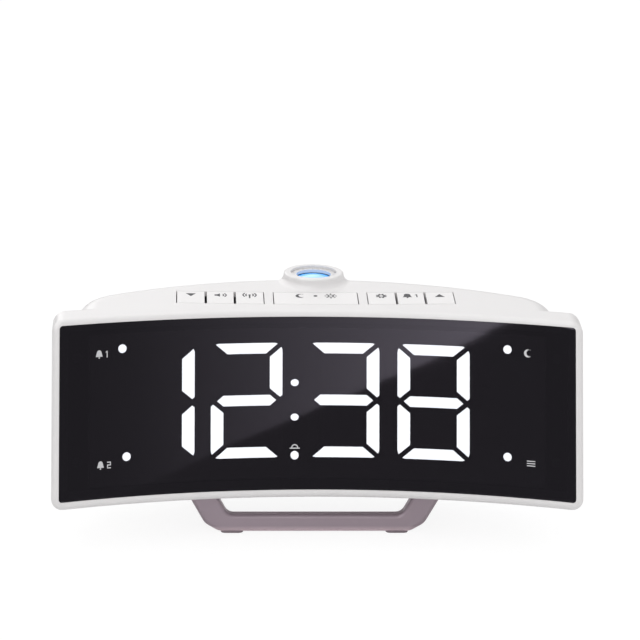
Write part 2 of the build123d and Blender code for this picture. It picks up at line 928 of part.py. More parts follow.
# Display board and a chip behind every light
board_outline = rectangle_outline((-board_width / 2, board_width / 2), board_limits)
board_layer = face_band(board_front, board_back)
with BuildPart() as display_board:
    add(front_prism(board_outline))
    add(board_layer, mode=Mode.INTERSECT)
    for seat in board_screw_seats:
        add(hole(seat, -1, board_thickness + 1, clearance), mode=Mode.SUBTRACT)
save(display_board.part, "display_board")

chip_layer = face_band(board_front - chip_height, board_front)
light_middles = [face.center() for outline in lights().values() for face in outline.faces()]
with BuildSketch() as chip_outlines:
    with Locations(*[(middle.X, middle.Y) for middle in light_middles]):
        Rectangle(chip_size, chip_size)
with BuildPart() as display_leds:
    add(front_prism(chip_outlines.sketch))
    add(chip_layer, mode=Mode.INTERSECT)
save(display_leds.part, "display_leds")

with BuildPart() as mask_screws:
    for seat in mask_screw_seats:
        add(screw(seat, mask_screw_length))
save(mask_screws.part, "mask_screws")

with BuildPart() as display_board_screws:
    for seat in board_screw_seats:
        add(screw(seat, board_screw_length))
save(display_board_screws.part, "display_board_screws")

# Keys, each with its switch plunger
flange_top = under_roof(wall + key_flange_gap)
key_under = under_roof(key_thickness)
stem_trim = under_roof(key_thickness - stem_cap)
for name, limits in key_limits.items():
    middle_x = (limits[0] + limits[1]) / 2
    flange_y = (key_y[0] - key_flange, key_y[1] + key_flange)
    with BuildPart() as key:
        add(roof_layer(key_y, limits, roof, key_under))
        add(roof_layer(flange_y, limits, flange_top, key_under))
        add(cylinder(middle_x, key_middle, stem_bottom, far, stem_radius) & stem_trim)
    save(key.part, name)
    with BuildPart() as plunger:
        add(cylinder(middle_x, key_middle, plunger_base, plunger_top, plunger_radius))
    save(plunger.part, name.replace("key_", "plunger_"))

# Key board with a switch under every key
with BuildPart() as key_board:
    half = key_board_width / 2
    add(block((-half, half), key_board_y, (board_top - circuit_thickness, board_top)))
    for place in key_post_places:
        add(cylinder(*place, 0, far, clearance), mode=Mode.SUBTRACT)
save(key_board.part, "key_board")

with BuildPart() as key_switches:
    for limits in key_limits.values():
        middle_x = (limits[0] + limits[1]) / 2
        half = switch_size / 2
        add(block(
            (middle_x - half, middle_x + half),
            (key_middle - half, key_middle + half),
            (board_top, board_top + switch_height),
        ))
        bore = cylinder(
            middle_x, key_middle, board_top + switch_floor, far, plunger_radius + running_gap
        )
        add(bore, mode=Mode.SUBTRACT)
save(key_switches.part, "key_switches")

with BuildPart() as key_board_screws:
    for place in key_post_places:
        seat = upward_seat(place, board_top - circuit_thickness)
        add(screw(seat, circuit_thickness + screw_bite))
save(key_board_screws.part, "key_board_screws")

# Projector: turning ring, sliding lens cell, tube, picture slide, condenser and light
axis_place = (0, tower_y)
cell_top = ring_top - ring_lip - end_gap
cell_bottom = cell_top - cell_height
tube_bottom = tube_top - tube_length
tube_bore = cell_radius + running_gap


def on_axis(low, high, radius):
    """Cylinder on the projector's axis."""
    return cylinder(*axis_place, low, high, radius)


def dome(low, radius, rise):
    """Cap of a ball on the projector's axis; a negative rise makes it hang down."""
    ball = (radius**2 + rise**2) / (2 * abs(rise))
    centre = low + rise - ball if rise > 0 else low + rise + ball
    limits = sorted((low, low + rise))
    with BuildPart() as cap:
        with Locations((*axis_place, centre)):
            Sphere(ball)
        add(on_axis(limits[0], limits[1] + 0.01, radius + 1), mode=Mode.INTERSECT)
    return cap.part


with BuildPart() as focus_ring:
    add(on_axis(ring_bottom, ring_top, ring_radius))
    add(on_axis(ring_bottom, ring_bottom + ring_flange_height, ring_radius + ring_flange))
    add(on_axis(ring_bottom, ring_top - ring_lip, tube_bore), mode=Mode.SUBTRACT)
    add(on_axis(ring_bottom, ring_top, ring_opening), mode=Mode.SUBTRACT)
    middle = (ring_opening + ring_radius) / 2
    with Locations((*axis_place, ring_top)):
        with PolarLocations(middle, grip_notches):
            Box(notch_length, notch_width, 2 * notch_depth, mode=Mode.SUBTRACT)
save(focus_ring.part, "focus_ring")

with BuildPart() as projection_lens:
    add(on_axis(cell_top - glass_edge, cell_top, glass_radius))
    add(dome(cell_top, glass_radius - glass_rim, glass_dome))
save(projection_lens.part, "projection_lens")

tab_reach = tube_radius - fit_gap
with BuildPart() as lens_cell:
    add(on_axis(cell_bottom, cell_top, cell_radius))
    add(
        block((-cell_tab / 2, cell_tab / 2), (tower_y - tab_reach, tower_y + tab_reach),
              (cell_bottom, cell_bottom + cell_tab))
    )
    add(on_axis(0, far, cell_radius - cell_wall), mode=Mode.SUBTRACT)
    add(on_axis(cell_top - glass_edge - fit_gap, far, glass_radius + fit_gap), mode=Mode.SUBTRACT)
save(lens_cell.part, "lens_cell")

shelf_top = tube_bottom + slide_above_base
with BuildPart() as projector_tube:
    add(on_axis(tube_bottom, tube_top, tube_radius))
    ear_y = tower_y - tube_ear_forward
    reach = tube_ear_x + screw_head_radius + tube_ear_edge
    add(block((-reach, reach), (ear_y - tube_ear_half, ear_y + tube_ear_half), (ear_bottom, ear_top)))
    add(on_axis(0, far, tube_bore), mode=Mode.SUBTRACT)
    add(on_axis(shelf_top - shelf_thickness, shelf_top, (tube_radius + tube_bore) / 2))
    add(on_axis(0, far, shelf_opening), mode=Mode.SUBTRACT)
    slot = cell_tab / 2 + running_gap
    slot_bottom = cell_bottom - focus_travel - end_gap
    add(
        block((-slot, slot), (tower_y - tube_radius - 1, tower_y + tube_radius + 1),
              (slot_bottom, tube_top)),
        mode=Mode.SUBTRACT,
    )
    for place in tube_post_places:
        add(cylinder(*place, 0, far, clearance), mode=Mode.SUBTRACT)
save(projector_tube.part, "projector_tube")

with BuildPart() as projector_tube_screws:
    for place in tube_post_places:
        add(screw(upward_seat(place, ear_bottom), tube_ear_thickness + tube_screw_bite))
save(projector_tube_screws.part, "projector_tube_screws")

slide_z = shelf_top + slide_frame_height - slide_thickness
half_slide = (slide_width / 2, slide_height / 2)


def slide_block(low, high, grow):
    """Rectangular block for the picture slide or for its window."""
    return block(
        (-half_slide[0] - grow, half_slide[0] + grow),
        (tower_y - half_slide[1] - grow, tower_y + half_slide[1] + grow),
        (low, high),
    )


with BuildPart() as slide_frame:
    add(on_axis(shelf_top, shelf_top + slide_frame_height, cell_radius))
    add(slide_block(slide_z, far, fit_gap), mode=Mode.SUBTRACT)
    add(slide_block(0, far, -slide_rest), mode=Mode.SUBTRACT)
save(slide_frame.part, "slide_frame")

with BuildPart() as lcd_slide:
    add(slide_block(slide_z, slide_z + slide_thickness, 0))
save(lcd_slide.part, "lcd_slide")

condenser_top = shelf_top - shelf_thickness
with BuildPart() as condenser_lens:
    add(on_axis(condenser_top - condenser_edge, condenser_top, cell_radius))
    add(dome(condenser_top - condenser_edge, cell_radius - condenser_rim, -condenser_dome))
save(condenser_lens.part, "condenser_lens")

with BuildPart() as projector_led_board:
    add(on_axis(tube_bottom - circuit_thickness, tube_bottom, tube_radius))
save(projector_led_board.part, "projector_led_board")

with BuildPart() as projector_led:
    add(on_axis(tube_bottom, tube_bottom + led_foot_height, led_radius + led_foot))
    add(on_axis(tube_bottom, tube_bottom + led_height, led_radius))
    add(dome(tube_bottom + led_height, led_radius, led_dome))
save(projector_led.part, "projector_led")

# Main board and its parts
with BuildPart() as main_board:
    add(block(
        (-main_board_half, main_board_half), main_board_y,
        (main_board_z, main_board_z + circuit_thickness),
    ))
    for place in main_post_places:
        add(cylinder(*place, 0, far, clearance), mode=Mode.SUBTRACT)
save(main_board.part, "main_board")

board_face = main_board_z + circuit_thickness
with BuildPart() as main_board_screws:
    for place in main_post_places:
        add(screw(downward_seat(place, board_face), circuit_thickness + screw_bite))
save(main_board_screws.part, "main_board_screws")


def on_board(place, size):
    """Block of a size that stands on the main board, centred on a place."""
    y = main_board_y[0] + place[1]
    return block(
        (place[0] - size[0] / 2, place[0] + size[0] / 2),
        (y - size[1] / 2, y + size[1] / 2),
        (board_face, board_face + size[2]),
    )


with BuildPart() as main_chips:
    add(on_board(processor_place, processor_size))
    add(on_board(radio_chip_place, radio_chip_size))
    add(on_board(regulator_place, regulator_size))
save(main_chips.part, "main_chips")

with BuildPart() as main_capacitors:
    for x, back, radius, height in capacitor_sizes:
        y = main_board_y[0] + back
        add(cylinder(x, y, board_face, board_face + height, radius))
    circles = main_capacitors.edges().filter_by(GeomType.CIRCLE)
    fillet(circles.filter_by(lambda edge: edge.center().Z > board_face + 1), capacitor_edge)
save(main_capacitors.part, "main_capacitors")

shield_room = (
    shield_size[0] - 2 * shield_wall,
    shield_size[1] - 2 * shield_wall,
    shield_size[2] - shield_wall,
)
with BuildPart() as tuner_shield:
    add(on_board(shield_place, shield_size))
    add(on_board(shield_place, shield_room), mode=Mode.SUBTRACT)
save(tuner_shield.part, "tuner_shield")

# Power socket at the board's rear edge
jack_half = jack_width / 2
jack_back = rear_wall(jack_x - jack_half, wall) - cover_gap
jack_end = rear_wall(jack_x, 0) - jack_sink
jack_z = board_face + jack_axis
with BuildPart() as dc_jack:
    add(block(
        (jack_x - jack_half, jack_x + jack_half),
        (jack_back - jack_depth, jack_back),
        (board_face, board_face + jack_height),
    ))
    add(rod(jack_x, jack_z, jack_back - 1, jack_end, jack_barrel))
    add(rod(jack_x, jack_z, jack_end - jack_bore_depth, far, jack_bore), mode=Mode.SUBTRACT)
    add(rod(jack_x, jack_z, jack_end - jack_bore_depth - 1, jack_end - 1, jack_pin))
save(dc_jack.part, "dc_jack")

# Coin-cell tray: its face is a piece of the rear wall, its body slides in a holder
tray_half = tray_width / 2
tray_limits_x = (tray_x - tray_half, tray_x + tray_half)
tray_middle_z = rest_height + tray_z
tray_limits_z = (tray_middle_z - tray_height / 2, tray_middle_z + tray_height / 2)
tray_y = face_y + tray_start
coin_y = tray_y + tray_wall + coin_radius + coin_gap


def tray_outline(grow):
    """Front-view outline of the tray's face."""
    half = (tray_face_width / 2 + grow, tray_face_height / 2 + grow)
    return rectangle_outline(
        (tray_x - half[0], tray_x + half[0]),
        (tray_middle_z - half[1], tray_middle_z + half[1]),
        tray_corner + grow,
    )


shell = outside.part & front_prism(tray_outline(0), near=mid_y)
with BuildPart() as battery_tray:
    add(shell)
    add(cover_inside, mode=Mode.SUBTRACT)
    add(block(tray_limits_x, (tray_y, far), tray_limits_z) & body_form(plate_thickness / 2))
    coin_floor = tray_limits_z[0] + tray_floor
    add(cylinder(tray_x, coin_y, coin_floor, far, coin_radius + coin_gap), mode=Mode.SUBTRACT)
    contact_slot = block(
        (tray_x - contact_width, tray_x + contact_width), (tray_y - 1, coin_y + 4), (0, far)
    )
    add(contact_slot & block((-far, far), (-far, far), (0, coin_floor + 0.1)), mode=Mode.SUBTRACT)
    grip = rectangle_outline(
        (tray_x - tray_grip_width / 2, tray_x + tray_grip_width / 2),
        (tray_middle_z - tray_grip_height / 2, tray_middle_z + tray_grip_height / 2),
        tray_grip_depth,
    )
    add(front_prism(grip, near=mid_y) - body_form(tray_grip_depth), mode=Mode.SUBTRACT)
save(battery_tray.part, "battery_tray")

with BuildPart() as coin_cell:
    add(cylinder(tray_x, coin_y, coin_floor, coin_floor + coin_step, coin_step_radius))
    add(cylinder(tray_x, coin_y, coin_floor + coin_step, coin_floor + coin_height, coin_radius))
save(coin_cell.part, "coin_cell")

room = slide_gap + holder_wall
contact_z = (tray_limits_z[0] - slide_gap, tray_limits_z[1] + slide_gap)
contact_y = (tray_y - slide_gap - holder_wall, tray_y - slide_gap - holder_wall + contact_length)
contact_half = contact_width / 2


def contact_block(grow):
    """The two contact strips, one under the tray and one over it."""
    with BuildPart() as strips:
        for inner, sign in ((contact_z[0], -1), (contact_z[1], 1)):
            levels = sorted((inner, inner + sign * (contact_thickness + grow)))
            add(block(
                (tray_x - contact_half - grow, tray_x + contact_half + grow),
                (contact_y[0] - contact_tail - grow, contact_y[1] + grow),
                levels,
            ))
    return strips.part


with BuildPart() as battery_holder:
    add(block(
        (tray_limits_x[0] - room, tray_limits_x[1] + room),
        (tray_y - room, far),
        (tray_limits_z[0] - room, tray_limits_z[1] + room),
    ))
    add(body_form(wall), mode=Mode.INTERSECT)
    add(block(
        (tray_limits_x[0] - slide_gap, tray_limits_x[1] + slide_gap),
        (tray_y - slide_gap, far),
        contact_z,
    ), mode=Mode.SUBTRACT)
    add(contact_block(fit_gap), mode=Mode.SUBTRACT)
save(battery_holder.part, "battery_holder")

with BuildPart() as battery_contacts:
    add(contact_block(0))
save(battery_contacts.part, "battery_contacts")

# Rear cover with grille, boss ring for the speaker, and the socket and tray openings
speaker_height = rest_height + speaker_z
speaker_face = rear_plane(speaker_x, speaker_height, speaker_inset)
speaker_pilots = [
    Plane(
        origin=speaker_face.from_local_coords(
            (speaker_screw_circle * cos(radians(angle)), speaker_screw_circle * sin(radians(angle)))
        ),
        z_dir=speaker_face.z_dir,
    )
    for angle in (45, 135, 225, 315)
]
with BuildPart() as boss_ring:
    with BuildSketch(speaker_face):
        Circle(speaker_radius)
        Circle(speaker_opening, mode=Mode.SUBTRACT)
    extrude(amount=speaker_inset)
    add(body_form(plate_thickness / 2), mode=Mode.INTERSECT)
with BuildPart() as grille:
    with BuildSketch(speaker_face):
        slot_circle = speaker_opening - grille_rim
        count = int(2 * slot_circle / grille_pitch)
        for place in range(count):
            up = (place - (count - 1) / 2) * grille_pitch
            half = sqrt(slot_circle**2 - up**2)
            with Locations((0, up)):
                SlotOverall(2 * half, grille_slot)
    extrude(amount=2 * speaker_inset)
cover_prism = front_prism(plate_outline, near=mid_y)
with BuildPart() as rear_cover:
    add(outside.part & cover_prism)
    add(cover_inside, mode=Mode.SUBTRACT)
    add(boss_ring.part)
    add(tower_core, mode=Mode.SUBTRACT)
    add(grille.part, mode=Mode.SUBTRACT)
    add(rod(jack_x, jack_z, mid_y, far, jack_barrel + cover_gap), mode=Mode.SUBTRACT)
    add(front_prism(tray_outline(cover_gap), near=mid_y), mode=Mode.SUBTRACT)
    for x, z in cover_screw_places:
        seat = rear_plane(x, z, cover_screw_sink)
        add(disc(seat, clearance, 2 * wall), mode=Mode.SUBTRACT)
        add(hole(seat, 0, 2 * cover_screw_sink, head_room), mode=Mode.SUBTRACT)
    for seat in speaker_pilots:
        depth = speaker_screw_length - speaker_flange + fit_gap
        add(hole(seat, 0, depth, pilot), mode=Mode.SUBTRACT)
save(rear_cover.part, "rear_cover")

with BuildPart() as rear_cover_screws:
    for x, z in cover_screw_places:
        seat = rear_plane(x, z, cover_screw_sink)
        add(screw(Plane(origin=seat.origin, z_dir=-seat.z_dir), cover_screw_length))
save(rear_cover_screws.part, "rear_cover_screws")

# Speaker, turned about the axis of its own plane
turning = Plane(origin=speaker_face.origin, x_dir=speaker_face.x_dir, z_dir=-speaker_face.y_dir)
speaker_axis = Axis(speaker_face.origin, speaker_face.z_dir)


def turned(points):
    """Solid of revolution about the speaker's axis, from radius and height pairs."""
    with BuildPart() as body:
        with BuildSketch(turning):
            with BuildLine():
                Polyline(*points, close=True)
            make_face()
        revolve(axis=speaker_axis)
    return body.part


with BuildPart() as speaker_frame:
    add(turned([
        (speaker_opening, 0),
        (speaker_radius, 0),
        (speaker_radius, -speaker_flange),
        (speaker_opening + basket_wall, -speaker_flange),
        (speaker_magnet, -speaker_basket),
        (speaker_magnet, -speaker_depth),
        (0, -speaker_depth),
        (0, -speaker_basket - basket_wall),
        (speaker_magnet - basket_wall, -speaker_basket - basket_wall),
        (speaker_opening, -speaker_flange),
    ]))
    for seat in speaker_pilots:
        add(hole(seat, -2 * speaker_flange, 1, clearance), mode=Mode.SUBTRACT)
        add(hole(seat, -4 * speaker_flange, -speaker_flange, head_room), mode=Mode.SUBTRACT)
save(speaker_frame.part, "speaker_frame")

with BuildPart() as speaker_cone:
    rim = speaker_opening - fit_gap
    cone_low = speaker_basket - basket_wall / 2
    add(turned([
        (rim, 0),
        (rim, -cone_rim),
        (rim - cone_edge, -cone_rim),
        (dust_cap_radius, -cone_low),
        (0, -cone_low),
        (0, dust_cap_rise - cone_low),
        (dust_cap_radius, cone_rim - cone_low),
        (rim - cone_edge, 0),
    ]))
save(speaker_cone.part, "speaker_cone")

with BuildPart() as speaker_screws:
    for seat in speaker_pilots:
        add(screw(seat.offset(-speaker_flange), speaker_screw_length))
save(speaker_screws.part, "speaker_screws")

# Stand: a flat open loop at the front, a plate under the floor and two legs at the back
plate_bottom = body_floor - stand_plate
stand_top = body_floor


def stand_half(z):
    """Half width of the loop's outer outline at a height."""
    return stand_half_low + (stand_half_high - stand_half_low) * z / stand_top


window_low = pad_proud + stand_bar_height
with BuildSketch() as loop_outline:
    with BuildLine():
        Polyline(
            (-stand_half(stand_top), stand_top),
            (-stand_half(pad_proud), pad_proud),
            (stand_half(pad_proud), pad_proud),
            (stand_half(stand_top), stand_top),
            (stand_half(stand_top) - stand_leg, stand_top),
            (stand_half(window_low) - stand_leg, window_low),
            (stand_leg - stand_half(window_low), window_low),
            (stand_leg - stand_half(stand_top), stand_top),
            close=True,
        )
    make_face()
    fillet(loop_outline.vertices().group_by(Axis.Y)[1], stand_inner_round)
    chamfer(loop_outline.vertices().group_by(Axis.Y)[0], stand_knee)
    knees = loop_outline.vertices().filter_by(lambda corner: corner.Y < pad_proud + stand_knee)
    fillet(knees, stand_knee_round)

rear_leg_y = stand_y[1] - rear_leg_inset - rear_leg_depth / 2
pad_x = stand_half_low - pad_inset - pad_length / 2
front_pads = [(side * pad_x, stand_y[0] + stand_bar / 2) for side in (-1, 1)]
rear_pads = [(side * rear_leg_x, rear_leg_y) for side in (-1, 1)]


def pads(grow):
    """Four rubber pads with round ends, or the recesses that hold them."""
    with BuildPart() as all_pads:
        with BuildSketch():
            with Locations(*front_pads):
                SlotOverall(pad_length + 2 * grow, pad_width + 2 * grow)
            with Locations(*rear_pads):
                SlotOverall(rear_pad_length + 2 * grow, rear_pad_width + 2 * grow, rotation=90)
        extrude(amount=pad_thickness)
    return all_pads.part


def loop_rim(inner):
    """Test for the edges round the outside, or the inside, of the loop's front and back faces."""

    def test(edge):
        middle = edge @ 0.5
        on_face = min(abs(middle.Y - stand_y[0]), abs(middle.Y - stand_y[0] - stand_bar)) < 0.01
        inside = abs(middle.X) < stand_half(middle.Z) - stand_leg / 2
        inside = inside and middle.Z > pad_proud + stand_bar_height / 2
        return on_face and middle.Z < stand_top - 0.1 and inside == inner

    return test


plate_half = stand_half(plate_bottom) - stand_edge
with BuildPart() as stand:
    add(front_prism(loop_outline.sketch, stand_y[0], stand_y[0] + stand_bar))
    fillet(stand.edges().filter_by(loop_rim(inner=False)), stand_edge)
    fillet(stand.edges().filter_by(loop_rim(inner=True)), stand_inner_edge)
    plate_y = (stand_y[0] + stand_bar / 2, stand_y[1])
    with BuildPart(mode=Mode.PRIVATE) as plate:
        add(block((-plate_half, plate_half), plate_y, (plate_bottom, stand_top)))
        fillet(plate.edges().filter_by(Axis.Z).group_by(Axis.Y)[-1], stand_plate_corner)
    add(plate.part)
    for place in rear_pads:
        with BuildSketch(downward_seat(place, plate_bottom)):
            RectangleRounded(rear_leg_width, rear_leg_depth, rear_leg_corner)
        extrude(amount=plate_bottom - pad_proud, taper=rear_leg_taper)
    for place in stand_screw_places:
        add(cylinder(*place, 0, far, clearance), mode=Mode.SUBTRACT)
    add(pads(fit_gap), mode=Mode.SUBTRACT)
save(stand.part, "stand")

save(pads(0), "stand_pads")

with BuildPart() as stand_screws:
    for place in stand_screw_places:
        add(screw(upward_seat(place, plate_bottom), stand_plate + screw_bite))
save(stand_screws.part, "stand_screws")
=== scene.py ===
"""Looks of the projection clock radio: finishes, printed marks, light and camera. Metres."""

import math
import bmesh
import bpy
from mathutils import Matrix, Vector
from mathutils.bvhtree import BVHTree


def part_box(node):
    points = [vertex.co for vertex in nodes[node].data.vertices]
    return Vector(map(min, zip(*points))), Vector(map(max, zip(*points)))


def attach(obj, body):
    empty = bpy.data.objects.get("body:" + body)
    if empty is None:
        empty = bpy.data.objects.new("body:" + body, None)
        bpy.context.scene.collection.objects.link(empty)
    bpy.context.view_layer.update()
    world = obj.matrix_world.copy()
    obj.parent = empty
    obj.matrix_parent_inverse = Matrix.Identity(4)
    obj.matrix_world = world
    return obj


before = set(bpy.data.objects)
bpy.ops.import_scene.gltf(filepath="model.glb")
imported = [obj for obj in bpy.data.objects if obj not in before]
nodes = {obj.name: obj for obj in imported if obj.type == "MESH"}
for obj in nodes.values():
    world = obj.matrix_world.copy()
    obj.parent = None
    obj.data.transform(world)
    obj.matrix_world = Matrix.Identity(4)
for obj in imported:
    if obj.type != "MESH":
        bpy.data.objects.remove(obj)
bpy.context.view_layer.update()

MM = 0.001
ACROSS = Vector((1, 0, 0))
BACK = Vector((0, 1, 0))
UP = Vector((0, 0, 1))
KEYS = ("volume_down", "volume", "radio", "snooze", "set", "alarm", "volume_up")

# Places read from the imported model, and the window's lower edge on the middle plane
TOWER_BEHIND = 57.2 * MM  # focus ring's axis behind the window's lower edge
rest_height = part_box("display_lens")[0].z
ring_low, ring_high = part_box("focus_ring")
tower_y = (ring_low.y + ring_high.y) / 2
face_y = tower_y - TOWER_BEHIND
stand_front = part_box("stand")[0].y

# Window's black print: its width at the ends and along the upper and lower edge, and its soft edge
BORDER_SIDE = 11.5 * MM
BORDER_LEVEL = 4.2 * MM
BORDER_BLUR = 0.1 * MM

# Stand's painted highlight along its lower edge: the heights and the depths behind its front between
# which it fades out
HIGHLIGHT_RISE = (1.4 * MM, 3.4 * MM)
HIGHLIGHT_REACH = (7.0 * MM, 9.0 * MM)

# Projector lens: radii between which its glow turns from light to deep blue
GLOW_REACH = (1.0 * MM, 6.8 * MM)

# Chip pins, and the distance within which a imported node's points are one point
PIN_PITCH = 1.27 * MM
PIN_WIDTH = 0.45 * MM
PIN_REACH = 1.0 * MM
PIN_THICKNESS = 0.2 * MM
PIN_FREE = 1.0 * MM  # length of a package that stays free of pins
FEWEST_PINS = 2
POINT_MERGE = 0.001 * MM

# Printed marks: start of the rays that press them on, gap under them, thickness, and merging distance
MARK_RAY = 20.0 * MM
MARK_GAP = 0.01 * MM
MARK_THICKNESS = 0.03 * MM
MARK_MERGE = 0.005 * MM
MARK_INSET = 9.8 * MM  # middle of a key's mark, behind the key's front edge

# Floor: half its side, its colour for light and for the camera, and its glow for the camera
FLOOR_HALF = 4.0
FLOOR_BOUNCE = 0.86
FLOOR_SEEN = 0.15
FLOOR_GLOW = 0.88

# Camera: degrees down, to the right and round, metres from its aim, and millimetres of lens
CAMERA_RISE = 16.39
CAMERA_TURN = -2.99
CAMERA_ROLL = 1.05
CAMERA_REACH = 1.05
CAMERA_LENS = 150.86
CAMERA_SENSOR = 36.0
CAMERA_AIM = 70.5 * MM  # above the window's foot
CAMERA_CLIP = (0.01, 50.0)

# Soft lamps: their places and powers
LAMP_SIZE = 1.2
LAMP_AIM = Vector((0, 0, 0.05))
LAMPS = {
    "key_lamp": ((-0.7, -0.9, 1.2), 5.2),
    "fill_lamp": ((0.9, -0.6, 0.9), 2.8),
    "top_lamp": ((0.1, 0.5, 1.3), 3.8),
}

# Sky: its level for plain light and for the camera
SKY_LIGHT = 0.62
SKY_SEEN = 1.0

# Reflection in the window: the plane of its slanting edge and how soft that edge is, how far and how fast
# it fades to the left, and its levels off and on
SHEEN_SIDE = (0.1035, 0.0641, 0.9926)
SHEEN_EDGE = 0.24533
SHEEN_BLUR = 0.0006
SHEEN_REACH = (0.44, -0.27)
SHEEN_FADE = 1.6
SHEEN_LOW = 0.36
SHEEN_HIGH = 2.6


def feed(tree, value, socket):
    """Links value to a socket, or sets it there where it is a plain number or colour."""
    if isinstance(value, bpy.types.NodeSocket):
        tree.links.new(value, socket)
    else:
        socket.default_value = value


def calculate(tree, operation, *terms):
    """Math node; each term is a socket or a number."""
    step = tree.nodes.new("ShaderNodeMath")
    step.operation = operation
    for socket, term in zip(step.inputs, terms):
        feed(tree, term, socket)
    return step.outputs[0]


def object_place(tree):
    """Coordinates on the object, in metres."""
    return tree.nodes.new("ShaderNodeTexCoord").outputs["Object"]


def axes_of(tree, coordinates):
    """X, Y and Z of coordinates."""
    axes = tree.nodes.new("ShaderNodeSeparateXYZ")
    tree.links.new(coordinates, axes.inputs["Vector"])
    return axes.outputs


def noise(tree, coordinates, scale, detail):
    """Noise texture; its scale is a socket or a number."""
    texture = tree.nodes.new("ShaderNodeTexNoise")
    texture.inputs["Detail"].default_value = detail
    tree.links.new(coordinates, texture.inputs["Vector"])
    feed(tree, scale, texture.inputs["Scale"])
    return texture.outputs["Fac"]


def stretch(tree, value, low, high, to_low=0.0, to_high=1.0):
    """Map Range node that spreads a narrow band of values."""
    spread = tree.nodes.new("ShaderNodeMapRange")
    limits = {"From Min": low, "From Max": high, "To Min": to_low, "To Max": to_high}
    for label, number in limits.items():
        spread.inputs[label].default_value = number
    tree.links.new(value, spread.inputs["Value"])
    return spread.outputs["Result"]


def mix_colours(tree, factor, first, second):
    """Mix node for two colours; each is a socket or a plain colour."""
    blend = tree.nodes.new("ShaderNodeMix")
    blend.data_type = "RGBA"
    tree.links.new(factor, blend.inputs["Factor"])
    for label, colour in (("A", first), ("B", second)):
        feed(tree, colour, next(s for s in blend.inputs if s.name == label and s.type == "RGBA"))
    return next(s for s in blend.outputs if s.type == "RGBA")


def start_skin(name, patch, grain, depth):
    """Empty shader group with the sockets that every skin has, and the object's coordinates."""
    tree = bpy.data.node_groups.new(name, "ShaderNodeTree")
    inputs = (
        ("Colour", "NodeSocketColor", (0.8, 0.8, 0.8, 1)),
        ("Shade", "NodeSocketColor", (0.7, 0.7, 0.7, 1)),
        ("Patch Scale", "NodeSocketFloat", patch),
        ("Grain Scale", "NodeSocketFloat", grain),
        ("Grain Depth", "NodeSocketFloat", depth),
        ("Gloss", "NodeSocketFloat", 0.4),
        ("Gloss Change", "NodeSocketFloat", 0.1),
    )
    for label, kind, value in inputs:
        socket = tree.interface.new_socket(label, in_out="INPUT", socket_type=kind)
        socket.default_value = value
    outputs = (
        ("Colour", "NodeSocketColor"),
        ("Roughness", "NodeSocketFloat"),
        ("Normal", "NodeSocketVector"),
    )
    for label, kind in outputs:
        tree.interface.new_socket(label, in_out="OUTPUT", socket_type=kind)
    entry = tree.nodes.new("NodeGroupInput").outputs
    leave = tree.nodes.new("NodeGroupOutput").inputs
    return tree, entry, leave, object_place(tree)


def end_skin(tree, entry, leave, tone, wander, height):
    """Colour out of tone, roughness out of wander and normal out of height."""
    colour = mix_colours(tree, tone, entry["Colour"], entry["Shade"])
    tree.links.new(colour, leave["Colour"])
    centred = calculate(tree, "SUBTRACT", wander, 0.5)
    gloss = calculate(tree, "MULTIPLY_ADD", centred, entry["Gloss Change"], entry["Gloss"])
    tree.links.new(gloss, leave["Roughness"])
    bump = tree.nodes.new("ShaderNodeBump")
    bump.inputs["Strength"].default_value = 1.0
    tree.links.new(entry["Grain Depth"], bump.inputs["Distance"])
    tree.links.new(height, bump.inputs["Height"])
    tree.links.new(bump.outputs["Normal"], leave["Normal"])


def make_moulded_skin():
    """Moulded plastic: slow change of tone, fine spark-eroded grain."""
    tree, entry, leave, place = start_skin("moulded_skin", patch=18.0, grain=2600.0, depth=0.01 * MM)
    patches = stretch(tree, noise(tree, place, entry["Patch Scale"], 3.0), 0.35, 0.65)
    grain = noise(tree, place, entry["Grain Scale"], 2.0)
    end_skin(tree, entry, leave, patches, patches, grain)
    return tree


def make_brushed_skin():
    """Drawn or turned metal: fine lines along one direction."""
    tree, entry, leave, place = start_skin("brushed_skin", patch=60.0, grain=900.0, depth=0.004 * MM)
    squeeze = tree.nodes.new("ShaderNodeMapping")
    squeeze.inputs["Scale"].default_value = (0.06, 1.0, 1.0)
    tree.links.new(place, squeeze.inputs["Vector"])
    lines = noise(tree, squeeze.outputs["Vector"], entry["Grain Scale"], 4.0)
    patches = stretch(tree, noise(tree, place, entry["Patch Scale"], 2.0), 0.3, 0.7)
    end_skin(tree, entry, leave, patches, lines, lines)
    return tree


def make_laminate_skin():
    """Circuit board: solder mask over a net of copper tracks."""
    tree, entry, leave, place = start_skin("laminate_skin", patch=60.0, grain=420.0, depth=0.04 * MM)
    net = tree.nodes.new("ShaderNodeTexVoronoi")
    net.distance = "MANHATTAN"
    net.feature = "DISTANCE_TO_EDGE"
    tree.links.new(place, net.inputs["Vector"])
    tree.links.new(entry["Grain Scale"], net.inputs["Scale"])
    tracks = stretch(tree, net.outputs["Distance"], 0.05, 0.12, 1.0, 0.0)
    patches = noise(tree, place, entry["Patch Scale"], 2.0)
    end_skin(tree, entry, leave, tracks, patches, tracks)
    return tree


moulded_skin = make_moulded_skin()
brushed_skin = make_brushed_skin()
laminate_skin = make_laminate_skin()


